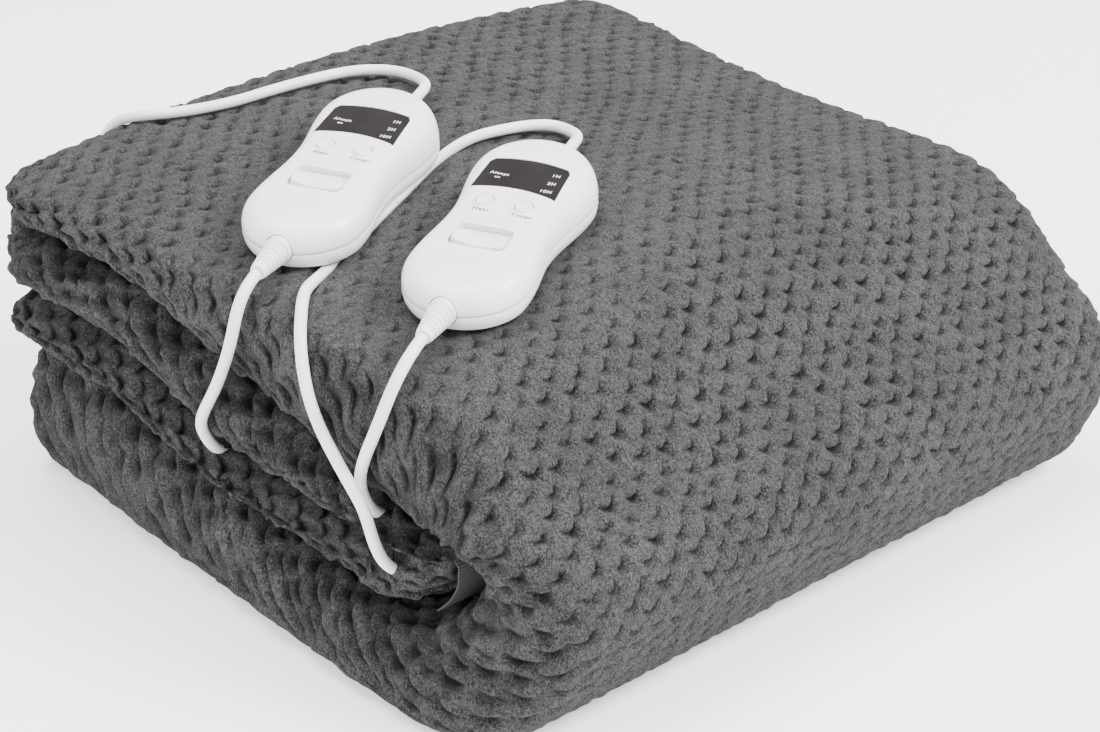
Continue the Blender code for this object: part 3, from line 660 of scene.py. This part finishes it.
def coil_points():
    """The wound turns of the mains lead, from where it comes in to where it leaves."""
    places = []
    for turn in COIL_PLACES:
        reach = 0.0 if turn is None else COIL_GAP
        angle = math.radians(turn or 0)
        places.append((reach * math.cos(angle), reach * math.sin(angle)))
    start, end = Vector(LEAD_ROUTE[-1]), Vector(TAIL_ROUTE[0])
    came_from = ((start - COIL_CENTRE).xy.length - COIL_RADIUS, start.z - COIL_CENTRE.z)
    goes_to = ((end - COIL_CENTRE).xy.length - COIL_RADIUS, end.z - COIL_CENTRE.z)
    places = [came_from] + places
    whole = 360 * (len(COIL_PLACES) - 1) + COIL_END - COIL_START
    count = round(COIL_POINTS * whole / 360)
    leaves = whole - COIL_SHIFT / 2
    points = []
    for i in range(1, count):
        angle = whole * i / count
        turn = min(int(angle // 360), len(COIL_PLACES) - 1)
        share = float(smooth_step((angle - 360 * turn) / COIL_SHIFT))
        out, up = (a + (b - a) * share for a, b in zip(places[turn], places[turn + 1]))
        if angle > leaves:
            share = float(smooth_step((angle - leaves) / (whole - leaves)))
            out, up = (a + (b - a) * share for a, b in zip((out, up), goes_to))
        round_coil = math.radians(COIL_START + angle)
        points.append((COIL_CENTRE.x + (COIL_RADIUS + out) * math.cos(round_coil),
                       COIL_CENTRE.y + (COIL_RADIUS + out) * math.sin(round_coil),
                       COIL_CENTRE.z + up))
    return np.array(points)


def add_cords(material, pin_metal, shell):
    """The mains lead with its coil and plug, and the three cords into the folds."""
    nodes = frame["nodes"]
    plug = [nodes[name] for name in ("mains_plug", "plug_pin_a", "plug_pin_b")]
    for item, finish in zip(plug, (shell, pin_metal, pin_metal)):
        item.data.materials.clear()
        item.data.materials.append(finish)
    line = np.concatenate((along_route(LEAD_ROUTE, CORD_SPACING), coil_points(),
                           along_route(TAIL_ROUTE, CORD_SPACING)))
    lead = tube("mains_cord", line, material, ("mains_lead", "mains_coil", "mains_tail"))
    for name, route, node in (("upper_cord", UPPER_ROUTE + UPPER_TUCKED, "controller_b_cord"),
                              ("front_cord", FRONT_ROUTE + FRONT_TUCKED, "front_heating_cord"),
                              ("back_cord", BACK_ROUTE + BACK_TUCKED, "back_heating_cord")):
        points = along_route(route, CORD_SPACING)
        cord = tube(name, points, material, (node,))


# --- Blanket ---

def seat_plane(x, y):
    """Height of the flat seat under the controllers."""
    return SEAT_HEIGHT + SEAT_SLOPE[0] * x + SEAT_SLOPE[1] * y


def seat_weight(x, y):
    """How far the cloth follows the seat: 1 under a controller, 0 well away."""
    nearest = np.full_like(x, 1.0)
    for _, centre_x, centre_y in CONTROLLERS:
        along = (x - centre_x) * math.cos(HEADING) + (y - centre_y) * math.sin(HEADING)
        side = (x - centre_x) * math.sin(HEADING) - (y - centre_y) * math.cos(HEADING)
        nearest = np.minimum(nearest, np.hypot(np.maximum(np.abs(along) - AXIS_HALF, 0.0), side))
    return 1 - smooth_step((nearest - SEAT_REACH) / SEAT_FADE)


def settled(x, y, level):
    """The height to which points of the even stack settle."""
    x, y, level = (np.asarray(values, float) for values in (x, y, level))
    shape = x.shape
    x, y, level = x.ravel(), y.ravel(), level.ravel()
    place = np.interp(y, STACK[:, 0], np.arange(len(STACK)))
    left, middle, right = (on_curve(STACK[:, i], place) for i in (1, 2, 3))
    u = np.clip(x / COLUMN_X, -1.0, 1.0)
    stack = middle + u * (right - left) / 2 + u * u * ((left + right) / 2 - middle)
    shares = [np.zeros_like(x)] + [on_curve(STACK[:, i], place) for i in (4, 5, 6)]
    shares = np.array(shares + [np.ones_like(x)])
    top = stack * on_curve(shares, np.full_like(x, TOP_LEVEL))
    height = stack * on_curve(shares, level)
    pressed = (seat_plane(x, y) - top) * seat_weight(x, y)
    return (height + pressed * (height / top) ** 3).reshape(shape)


def faces_at(place):
    """y and level of both faces of the strip at places, in sections."""
    row = np.minimum(place.astype(int), len(STRIP) - 2)
    share = place - row
    turn = share * math.pi / 2
    kind = np.array([section[6] for section in STRIP])[row]
    along = np.select([kind == "leave", kind == "join"], [np.sin(turn), 1 - np.cos(turn)], share)
    up = np.select([kind == "leave", kind == "join"], [1 - np.cos(turn), np.sin(turn)], share)
    columns = np.array([section[:4] for section in STRIP])
    here, after = columns[row], columns[row + 1]
    return (here + (after - here) * np.stack((along, up, along, up), 1)).T


def strip_lengths():
    """Fine places along the strip and the cloth's length up to each."""
    place = np.linspace(0, len(STRIP) - 1, 60 * (len(STRIP) - 1) + 1)
    one_y, one_level, two_y, two_level = faces_at(place)
    middle = np.zeros_like(place)
    steps = [np.hypot(np.diff(y), np.diff(settled(middle, y, level)))
             for y, level in ((one_y, one_level), (two_y, two_level))]
    return place, np.concatenate(([0.0], np.cumsum(np.maximum(*steps))))


def across_flat(fine):
    """Places from -1 to 1 across the flat of a layer, close together where it shows."""
    half = COLUMN_X - SIDE_ROUND
    if fine:
        return np.linspace(-1, 1, round(2 * half / CLOTH_STEP) + 1)
    shows = SIDE_SHOWS / half
    edge = np.linspace(-1, shows - 1, round(SIDE_SHOWS / CLOTH_STEP) + 1)
    middle = np.linspace(shows - 1, 1 - shows, round(2 * (half - SIDE_SHOWS) / HIDDEN_STEP) + 1)
    return np.concatenate((edge, middle[1:-1], -edge[::-1]))


def strip_profile(faces_show):
    """Section of the strip: place across, reach into the side, and face (1 to -1)."""
    one = across_flat(faces_show[0])
    two = across_flat(faces_show[1])[::-1]
    turns = math.pi * np.arange(1, SIDE_STEPS) / SIDE_STEPS
    across = np.concatenate((one, np.ones_like(turns), two, -np.ones_like(turns)))
    reach = np.concatenate((0 * one, np.sin(turns), 0 * two, -np.sin(turns)))
    face = np.concatenate((one * 0 + 1, np.cos(turns), two * 0 - 1, -np.cos(turns)))
    return across, reach, face


def strip_points(place, past_end, profile):
    """Grid of points: a row for each place along the strip, a column round it."""
    across, reach, face = profile
    left, right = (on_curve([section[i] for section in STRIP], place) for i in (4, 5))
    one_y, one_level, two_y, two_level = faces_at(place)
    open_share = np.sqrt(1 - past_end ** 2)
    inset = END_ROUND * (1 - open_share)
    middle_x, half_x = (left + right) / 2, (right - left) / 2 - inset - SIDE_ROUND
    x = middle_x[:, None] + half_x[:, None] * across + SIDE_ROUND * reach
    y = ((one_y + two_y) / 2 + END_ROUND * past_end)[:, None] \
        + ((one_y - two_y) / 2 * open_share)[:, None] * face
    level = ((one_level + two_level) / 2)[:, None] \
        + ((one_level - two_level) / 2 * open_share)[:, None] * face
    return np.stack((x, y, settled(x, y, level)), axis=2)


def grid_normals(points):
    """Outward normals of a grid whose columns close into rings, and its direction along."""
    along = np.gradient(points, axis=0)
    round_it = np.roll(points, -1, axis=1) - np.roll(points, 1, axis=1)
    normals = np.cross(round_it, along)
    normals /= np.maximum(np.linalg.norm(normals, axis=2, keepdims=True), 1e-12)
    along /= np.maximum(np.linalg.norm(along, axis=2, keepdims=True), 1e-12)
    return normals, along


def tufts(across, along):
    """Depth of the dimples, height of the lips and depth of the quilting, each 0 to 1."""
    chance = np.random.default_rng(SEED)
    phases = chance.uniform(0, 2 * math.pi, (2, 2))
    tables = chance.uniform(-1, 1, (5, 64, 64))
    x, y = (even + TUFT_WANDER * (np.sin(across / size[0] + phase[0])
                                  + np.sin(along / size[1] + phase[1]))
            for even, size, phase in zip((across, along), WANDER_LENGTHS, phases))
    p = (x * math.cos(TUFT_TURN) + y * math.sin(TUFT_TURN)) / TUFT_ACROSS
    q = (y * math.cos(TUFT_TURN) - x * math.sin(TUFT_TURN)) / TUFT_ALONG
    dimple, lip = np.zeros_like(p), np.zeros_like(p)
    for half_p, half_q in ((0.5, 0.0), (0.0, 0.5)):
        row, column = np.round(p - half_p) + half_p, np.round(q - half_q) + half_q
        own = tables[:, np.round(2 * row).astype(int) % 64, np.round(2 * column).astype(int) % 64]
        aside = (p - row) * TUFT_ACROSS - TUFT_SHIFT[0] * own[0]
        ahead = (q - column) * TUFT_ALONG - TUFT_SHIFT[1] * own[1]
        turn = TUFT_FACES - TUFT_TURN + TUFT_VARIES[0] * own[2]
        side = aside * np.cos(turn) + ahead * np.sin(turn)
        drawn_back = TUFT_POINT * (np.sqrt(side ** 2 + TUFT_BLUNT ** 2) - TUFT_BLUNT)
        down = drawn_back + aside * np.sin(turn) - ahead * np.cos(turn)
        width = DIMPLE_HALF * (1 + TUFT_VARIES[1] * own[3])
        spread = np.exp(-(side / width) ** 2) * (1 + TUFT_VARIES[2] * own[4])
        fade = DIMPLE_FADE[0] + DIMPLE_FADE[1] * spread
        fall = smooth_step(down / LIP_DROP + 0.5) * np.exp(-np.maximum(down, 0.0) / fade)
        dimple = np.maximum(dimple, fall * spread)
        lip = np.maximum(lip, np.exp(-((down + LIP_WIDTH) / LIP_WIDTH) ** 2) * spread)
    quilt = ((1 - np.cos(2 * math.pi * p) * np.cos(2 * math.pi * q)) / 2) ** 1.5
    return dimple, lip, quilt


def clumps(across, along):
    """Matted clumps of the plush: 0 on a clump to 1 in the gaps between them."""
    table = np.random.default_rng(SEED + 2).uniform(-1, 1, (128, 128))
    total = np.zeros_like(across)
    for size, share in ((CLUMP_SIZE, 0.65), (CLUMP_SIZE / 2.1, 0.35)):
        x, y = across / size + 0.35 * np.sin(along / size / 1.7), along / size / 1.35
        row, column = np.floor(x).astype(int), np.floor(y).astype(int)
        u, v = smooth_step(x - row), smooth_step(y - column)
        for step_x, share_x in ((0, 1 - u), (1, u)):
            for step_y, share_y in ((0, 1 - v), (1, v)):
                own = table[(row + step_x) % 128, (column + step_y) % 128]
                total += share * share_x * share_y * own
    return smooth_step(0.5 + 1.1 * total)


def lumps(points):
    """Slow unevenness of the stuffed layers, from -1 to 1."""
    chance = np.random.default_rng(SEED + 1)
    total = np.zeros(points.shape[:2])
    for size in LUMP_SIZES:
        direction = chance.normal(size=(3, 3))
        direction /= np.linalg.norm(direction, axis=1, keepdims=True)
        for axis in direction:
            total += np.sin(points @ axis / size + chance.uniform(0, 2 * math.pi)) / 9
    return total


def press_groove(points):
    """Press the cloth down under the cord that runs below the first controller."""
    first, last = GROOVE_POINTS
    path = along_route(UPPER_ROUTE[first:last], 0.002)
    low, high = path.min(axis=0) - GROOVE_REACH, path.max(axis=0) + GROOVE_REACH
    near = np.all((points > low) & (points < high), axis=2)
    flat = points[near]
    gap = np.linalg.norm(flat[:, None, :2] - path[None, :, :2], axis=2)
    nearest = gap.argmin(axis=1)
    gap = gap.min(axis=1)
    round_floor = path[nearest, 2] - np.sqrt(np.maximum(GROOVE_RADIUS ** 2 - gap ** 2, 0.0))
    bank = path[nearest, 2] + GROOVE_BANK * (gap - GROOVE_RADIUS)
    flat[:, 2] = np.minimum(flat[:, 2], np.where(gap < GROOVE_RADIUS, round_floor, bank))
    points[near] = flat


def dressed(place, past_end, length, profile):
    """Points, normals and painted shading (shade in the dimples, highlight on the lips) of a
    stretch of the tufted strip.
    """
    points = strip_points(place, past_end, profile)
    normals, along = grid_normals(points)
    squeeze = np.linalg.norm(np.gradient(points, axis=0), axis=2) / np.gradient(length)[:, None]
    squeeze = np.clip(squeeze, SQUEEZE_LEAST, 1.0) ** SQUEEZE_POWER
    round_side = np.arccos(profile[2])
    from_middle = np.abs(profile[0])
    from_middle = np.where(profile[2] < -0.9999, 2 - from_middle, from_middle)
    across = (COLUMN_X - SIDE_ROUND) * from_middle
    across = np.sign(profile[0]) * (across + SIDE_ARC * round_side)
    turned_in = np.arcsin(past_end)
    reached = length + np.sign(place - 1) * (END_ARC * turned_in - END_ROUND * past_end)
    across, reached = across[None, :] + 0 * reached[:, None], reached[:, None] + 0 * across
    dimple, lip, quilt = tufts(across, reached)
    free = smooth_step(points[:, :, 2] / FLOOR_FADE)
    pressed = seat_weight(points[:, :, 0], points[:, :, 1]) * (points[:, :, 2] > TOP_FROM)
    beside = smooth_step((round_side - 0.35) / 0.8)[None, :]
    faces_front = smooth_step(-1.4 * normals[:, :, 1])
    deeper = 1 + SIDE_GROWTH * beside + FRONT_GROWTH * faces_front
    growth = (deeper - PRESSED_FLAT * pressed) * squeeze
    matted = clumps(across, reached) * beside
    height = (TUFT_LIP * lip * (1 - pressed) - TUFT_DEPTH * dimple - QUILT_DEPTH * quilt) * growth
    height += LUMP_HEIGHT * lumps(points) - CLUMP_DEPTH * matted
    # The relief fades where a free end closes, so that its two faces never cross.
    free = free * np.sqrt(1 - past_end ** 2)[:, None]
    points = points + normals * (height * free)[:, :, None] \
        - along * (TUFT_LEAN * (lip - dimple) * free * squeeze)[:, :, None]
    points[:, :, 2] = np.maximum(points[:, :, 2], 0.0)
    press_groove(points)
    # Painted shade: the dimples are coloured darker, more where they are deeper and less where the
    # cloth is crowded; the quilting and the gaps between clumps are painted darker too, and the
    # lips lighter as a painted highlight.
    shade = dimple * deeper * (SHADE_LEAST + (1 - SHADE_LEAST) * squeeze)
    painted_shading = 1 - shade + LIP_LIGHT * lip - QUILT_SHADE * quilt - CLUMP_SHADE * matted
    return points, grid_normals(points)[0], np.clip(painted_shading, 0.0, 1.2)


def grid_mesh(name, points, normals, values, cap_start, cap_end):
    """Mesh of a grid whose columns close into rings, shaded with given normals."""
    rows, columns = points.shape[:2]
    index = np.arange(rows * columns).reshape(rows, columns)
    after = np.roll(index, -1, axis=1)
    quads = np.stack((index[:-1], after[:-1], after[1:], index[1:]), axis=2).reshape(-1, 4)
    caps = [list(index[0][::-1])] * cap_start + [list(index[-1])] * cap_end
    mesh = bpy.data.meshes.new(name)
    mesh.from_pydata(points.reshape(-1, 3), [], quads.tolist() + caps)
    mesh.shade_smooth()
    layer = mesh.attributes.new("painted_shading", "FLOAT", "POINT")
    layer.data.foreach_set("value", values.ravel().astype(np.float32))
    mesh.update()
    mesh.normals_split_custom_set_from_vertices(normals.reshape(-1, 3))
    return mesh


def add_blanket(material):
    """The whole tufted strip, in pieces that meet under the stack and in its folds."""
    dense_place, dense_length = strip_lengths()
    closing = np.sin(math.pi / 2 * np.arange(1, END_STEPS + 1) / (END_STEPS + 0.5))
    for name, first, last, pieces, faces_show in STRETCHES:
        profile = strip_profile(faces_show)
        low, high = np.interp((first, last), dense_place, dense_length)
        count = round((high - low) / CLOTH_STEP / pieces)
        for part in range(pieces):
            ends = [low + (high - low) * (part + i) / pieces for i in (0, 1)]
            step = (ends[1] - ends[0]) / count
            length = ends[0] + step * np.arange(-1, count + 2)
            past = np.zeros_like(length)
            starts_free, ends_free = first == 0, last == len(STRIP) - 1
            if starts_free:
                length = np.concatenate((low - END_ROUND * closing[::-1], length[1:]))
                past = np.concatenate((closing[::-1], past[1:]))
            if ends_free:
                length = np.concatenate((length[:-1], high + END_ROUND * closing))
                past = np.concatenate((past[:-1], closing))
            place = np.interp(length, dense_length, dense_place)
            points, normals, painted_shading = dressed(place, past, length, profile)
            keep = slice(0 if starts_free else 1, None if ends_free else -1)
            title = name if pieces == 1 else name + "_" + "abc"[part]
            mesh = grid_mesh(title, points[keep], normals[keep], painted_shading[keep], starts_free, ends_free)
            cloth = add_object(title, mesh, material, ("blanket",))


def add_binding(material):
    """The tape in the opening of the front fold, with ribs across it."""
    outer, inner = BINDING_SPAN
    fine = np.linspace(0, len(BINDING_PATH) - 1, 400)
    y = on_curve(BINDING_PATH[:, 0], fine)
    z = settled(np.full_like(y, (outer + inner) / 2), y, on_curve(BINDING_PATH[:, 1], fine))
    curve = np.stack((y, z), axis=1)
    line = even_points(curve, BINDING_RIB / RIB_STEPS)
    goals = np.linspace(0, route_length(curve), len(line))
    out = np.gradient(line, axis=0)
    out = np.stack((-out[:, 1], out[:, 0]), axis=1)
    out /= np.linalg.norm(out, axis=1, keepdims=True)
    ribs = RIB_HEIGHT * np.cos(2 * math.pi * goals / BINDING_RIB)
    turns = np.linspace(0, math.pi, 9)
    half = BINDING_THICK / 2 - RIB_HEIGHT
    round_edge = half * np.sin(turns)
    across = np.concatenate((outer + half - round_edge, inner - half + round_edge))
    side = np.concatenate((np.cos(turns), -np.cos(turns)))
    rings = [[(x, *(point + away * turn * (half + rib))) for x, turn in zip(across, side)]
             for point, away, rib in zip(line, out, ribs)]
    add_object("ribbed_tape", loft("ribbed_tape", rings), material,
               ("edge_binding",))


# --- Controllers ---

def turned(name, profile):
    """Closed round solid from radii and heights, about Z."""
    rings = []
    for radius, height in profile:
        turns = [2 * math.pi * i / ROUND_STEPS for i in range(ROUND_STEPS)]
        rings.append([(radius * math.cos(a), radius * math.sin(a), height) for a in turns])
    return loft(name, rings)


def plate(name, outline, bottom, top):
    """Flat outline extruded from one height to another."""
    return loft(name, [[(x, y, z) for x, y in outline] for z in (bottom, top)])


def case_outline():
    """The case's outline: x, y, and y of the point that each is drawn in to."""
    head, foot = CASE_LENGTH / 2 - HEAD_RADIUS, FOOT_RADIUS - CASE_LENGTH / 2
    points = []
    for i in range(END_POINTS + 1):
        a = math.pi * i / END_POINTS
        points.append((HEAD_RADIUS * math.cos(a), head + HEAD_RADIUS * math.sin(a), head))
    waist = []
    for i in range(1, WAIST_POINTS):
        share = i / WAIST_POINTS
        width = HEAD_RADIUS + (FOOT_RADIUS - HEAD_RADIUS) * share
        width -= WAIST_DEPTH * math.sin(math.pi * share) ** 2
        waist.append((width, head + (foot - head) * share))
    points += [(-width, y, y) for width, y in waist]
    for i in range(END_POINTS + 1):
        a = math.pi * (1 + i / END_POINTS)
        points.append((FOOT_RADIUS * math.cos(a), foot + FOOT_RADIUS * math.sin(a), foot))
    return points + [(width, y, y) for width, y in reversed(waist)]


def case_ring(share, low, rise=0.0, lift=0.0):
    """Ring at a share of the outline, raised from low towards the top face."""
    ring = []
    for x, y, centre in case_outline():
        y_in = centre + (y - centre) * share
        top = CASE_HEIGHT + CASE_RISE * y_in
        ring.append((x * share, y_in, low + (top - low) * rise + lift))
    return ring


def upper_rings():
    """Rings of the upper shell, from its rim up and in over the top face."""
    rings = [case_ring(share, height) for share, height in RIM_RINGS]
    rim = RIM_RINGS[-1][1]
    for i in range(1, CROWN_STEPS + 1):
        a = math.pi / 2 * i / CROWN_STEPS
        share = FACE_SHARE + (1 - FACE_SHARE) * max(math.cos(a), 0.0) ** CROWN_POWER
        rings.append(case_ring(share, rim, math.sin(a) ** CROWN_POWER))
    for i in range(1, FACE_STEPS):
        share = FACE_SHARE * (1 - i / FACE_STEPS)
        swell = FACE_SWELL * (1 - (share / FACE_SHARE) ** 2)
        rings.append(case_ring(share, rim, 1.0, swell))
    return rings


def window_outline(grow):
    """Outline of the display window, grown all round, with soft upper corners."""
    low, high = WINDOW_SPAN[0] - grow, WINDOW_SPAN[1] + grow
    points = []
    for y, width, sign in ((low, WINDOW_WIDTHS[0], 1), (high, WINDOW_WIDTHS[1], -1)):
        half = width / 2 + grow
        for i in range(EDGE_POINTS + 1):
            u = (2 * i / EDGE_POINTS - 1) * sign
            x = u * half
            drop = 0.0
            if sign < 0:
                past = max(abs(x) - (half - WINDOW_CORNER), 0.0)
                drop = WINDOW_CORNER - math.sqrt(max(WINDOW_CORNER ** 2 - past ** 2, 0.0))
            points.append((x, y + WINDOW_BOW * (1 - u * u) - drop))
    return points


def round_outline(size_x, size_y, corner, bow=0.0):
    """Rectangle with round corners and, if given, a bowed lower side."""
    points = []
    for turn, sign_x, sign_y in ((0, 1, 1), (1, -1, 1), (2, -1, -1), (3, 1, -1)):
        for i in range(CORNER_POINTS + 1):
            a = math.pi / 2 * (turn + i / CORNER_POINTS)
            x = sign_x * (size_x / 2 - corner) + corner * math.cos(a)
            y = sign_y * (size_y / 2 - corner) + corner * math.sin(a)
            points.append((x, y))
        if turn == 2:
            flat = size_x - 2 * corner
            for i in range(1, EDGE_POINTS):
                u = 2 * i / EDGE_POINTS - 1
                points.append((u * flat / 2, -size_y / 2 - bow * (1 - u * u)))
    return points


def face_frame(x, y):
    """Frame on the case's top face, with its Z along the face's normal."""
    tilt = Matrix.Rotation(math.atan(CASE_RISE), 4, "X")
    return Matrix.Translation((x, y, CASE_HEIGHT + CASE_RISE * y)) @ tilt


def relief_frame(end):
    """Frame at an end of the case, with its Z outward along the cord."""
    turn = Matrix.Rotation(-math.pi / 2 * end, 4, "X")
    return Matrix.Translation((0, end * CASE_LENGTH / 2, RELIEF_HEIGHT)) @ turn


def relief_profile(length):
    """Ribbed taper: radius and distance out from the end of the case."""
    base = -RELIEF_POCKET[1] + 0.0006
    points = [(0.0001, base), (0.0060, base), (0.0062, base + 0.0002), (0.0062, 0.0010),
              (0.0060, 0.0012)]
    pitch = (length - 0.0030) / RELIEF_RIBS
    for i in range(RELIEF_RIBS):
        start = 0.0012 + i * pitch
        radius = 0.0058 - 0.0018 * i / (RELIEF_RIBS - 1)
        for share, shrink in ((0.10, 0.0012), (0.28, 0.0013), (0.42, 0.0007), (0.52, 0.0001),
                              (0.70, 0.0), (0.86, 0.0001), (0.97, 0.0004)):
            points.append((radius - shrink, start + share * pitch))
    return points + [(0.0036, length - 0.0010), (0.0034, length - 0.0002),
                     (0.0031, length), (0.0001, length)]


def seat_frame(x, y):
    """Frame on the seat, with Y along the controller and Z along its normal."""
    normal = Vector((-SEAT_SLOPE[0], -SEAT_SLOPE[1], 1)).normalized()
    ahead = Vector((math.cos(HEADING), math.sin(HEADING), 0))
    ahead = (ahead - normal * ahead.dot(normal)).normalized()
    side = ahead.cross(normal)
    turn = Matrix((side, ahead, normal)).transposed().to_4x4()
    return Matrix.Translation(Vector((x, y, seat_plane(x, y))) + normal * LIFT) @ turn


def carved(mesh, cutters):
    """The mesh with cutters taken out of it: pairs of a mesh and its place."""
    target = placed("blank", mesh)
    helpers = [placed("cutter", cutter, matrix) for cutter, matrix in cutters]
    for helper in helpers:
        modifier = target.modifiers.new("Cut", "BOOLEAN")
        modifier.operation = "DIFFERENCE"
        modifier.solver = "EXACT"
        modifier.object = helper
    result = baked(target, *helpers)
    result.shade_smooth()
    result.set_sharp_from_angle(angle=SHARP_FROM)
    return result


def pad(name, outline, height, edge, dish, fall):
    """Soft-edged key from an outline: dished, and falling from its upper side to its lower."""
    rings = []
    half = max(y for _, y in outline)
    for share, z in ((1.0, 0.0), (1.0, height - edge), (0.985, height - 0.45 * edge),
                     (0.95, height - 0.1 * edge), (0.90, height), (0.82, height - 0.25 * dish),
                     (0.70, height - 0.8 * dish), (0.42, height - dish), (0.12, height - dish)):
        ring = []
        for x, y in outline:
            y_in = y * (0.45 * share + 0.55 * share ** 2)
            ring.append((x * share, y_in, z - (fall * (1 - y_in / half) / 2 if z > 0 else 0.0)))
        rings.append(ring)
    return loft(name, rings)


def lettering(name, words, size):
    """Raised print, as a mesh."""
    curve = bpy.data.curves.new(name, "FONT")
    curve.body = words
    curve.size = size
    curve.align_x = "CENTER"
    curve.align_y = "CENTER"
    curve.extrude = PRINT_LIFT / 2
    curve.space_character = PRINT_SPACING
    return baked(placed(name, curve))


def add_controller(letter, place, materials):
    """One hand controller: shells, window, keys, slide, lettering and strain reliefs."""
    title = "controller_" + letter + "_"

    def add(name, mesh, slot, node=None, matrix=place, body=BODY, finish=None):
        """Add a piece, in its slot's own material or in another finish."""
        return add_object(title + name, mesh, materials[finish or slot],
                          (title + node,) if node else (), body, matrix)

    radius, deep = RELIEF_POCKET
    sockets = [(turned("socket", ((radius, -deep), (radius, CUT_PAST))), relief_frame(end))
               for end in (1, -1)]
    width, length, depth = RECESS_SIZE
    recess = round_outline(width, length, ROUND_CORNER)
    pockets = [
        (plate("pocket", window_outline(FIT), -WINDOW_THICK - FIT, CUT_ABOVE), face_frame(0, 0)),
        (plate("recess", recess, -depth, CUT_ABOVE), face_frame(0, RECESS_PLACE)),
    ]
    for side in (-1, 1):
        hole = turned("hole", ((HOLE_RADIUS, -HOLE_DEPTH), (HOLE_RADIUS, CUT_ABOVE)))
        pockets.append((hole, face_frame(side * BUTTON_OFFSET, BUTTON_PLACE)))

    base = carved(loft("base", [case_ring(*ring) for ring in BASE_RINGS]), sockets)
    case = carved(loft("case", upper_rings()), sockets + pockets)
    add("lower_shell", base, "white_shell", "base")
    add("upper_shell", case, "white_shell", "case")
    glass = plate("window", window_outline(0), -WINDOW_THICK, 0)
    window = add("display", glass, "dark_window", "window", place @ face_frame(0, 0))
    window.data.set_sharp_from_angle(angle=SHARP_FROM)

    for key, side in (("heat", -1), ("timer", 1)):
        spot = place @ face_frame(side * BUTTON_OFFSET, BUTTON_PLACE)
        low, top, r = BUTTON_PROUD - BUTTON_HEIGHT, BUTTON_PROUD, BUTTON_RADIUS
        button = turned("button", ((r, low), (r, top - 0.0005), (r - 0.00015, top - 0.0002),
                                   (r - 0.0005, top), (r - 0.0010, top - 0.00005),
                                   (0.55 * r, top - 0.0003), (0.0002, top - 0.0004)))
        add(key + "_key", button, "white_keys", key + "_button", spot,
            key + "_button_" + letter)
        ring = turned("ring", [(HOLE_RADIUS + out, up) for out, up in COLLAR])
        hollow = turned("hollow", ((HOLE_RADIUS, -0.001), (HOLE_RADIUS, 0.001)))
        collar = carved(ring, [(hollow, Matrix.Identity(4))])
        add(key + "_collar", collar, "white_shell", matrix=spot)

    width, length, height = THUMB_SIZE
    outline = round_outline(width, length - THUMB_BOW, THUMB_CORNER, THUMB_BOW)
    spot = place @ face_frame(0, THUMB_PLACE) @ Matrix.Translation((0, THUMB_BOW / 2, FIT - depth))
    add("thumb", pad("thumb", outline, height, *THUMB_TOP), "white_keys", "slide", spot,
        "slide_" + letter)
    for i, x in enumerate(DOT_PLACES):
        dot = turned("dot", ((DOT_RADIUS, 0.0), (DOT_RADIUS, PRINT_LIFT)))
        spot = place @ face_frame(x, DOT_ROW) @ Matrix.Translation((0, 0, -depth))
        add("dot_" + str(i + 1), dot, "white_shell", matrix=spot, finish="print_grey")

    for side, end, length in (("head", 1, HEAD_RELIEF), ("foot", -1, FOOT_RELIEF)):
        add(side + "_sleeve", turned("relief", relief_profile(length)), "white_cord",
            side + "_relief", place @ relief_frame(end))

    for words, x, y, size, finish in LABELS:
        on_shell = finish == "print_grey"
        lift = PRINT_LIFT / 2 + PRINT_GAP + (FACE_SWELL if on_shell else 0.0)
        name = "label_" + words.lower()
        add(name, lettering(title + name, words, size),
            "white_shell" if on_shell else "dark_window",
            matrix=place @ face_frame(x, y) @ Matrix.Translation((0, 0, lift)), finish=finish)


def main():
    """Build the whole scene around the frame."""
    add_camera()
    materials = {
        "dark_window": glass_material(),
        # The white print has a painted glow.
        "print_white": print_material("print_white", (0.85, 0.85, 0.85, 1), 0.5),
        "print_grey": print_material("print_grey", (0.07, 0.07, 0.08, 1), 0.0),
    }
    for name, light, dark, roughness in PLASTICS:
        materials[name] = plastic_material(name, light, dark, roughness)
    add_cords(materials["white_cord"], metal_material(), materials["white_shell"])
    add_blanket(plush_material())
    add_binding(tape_material())
    for letter, x, y in CONTROLLERS:
        add_controller(letter, seat_frame(x, y), materials)
    add_surroundings()


main()
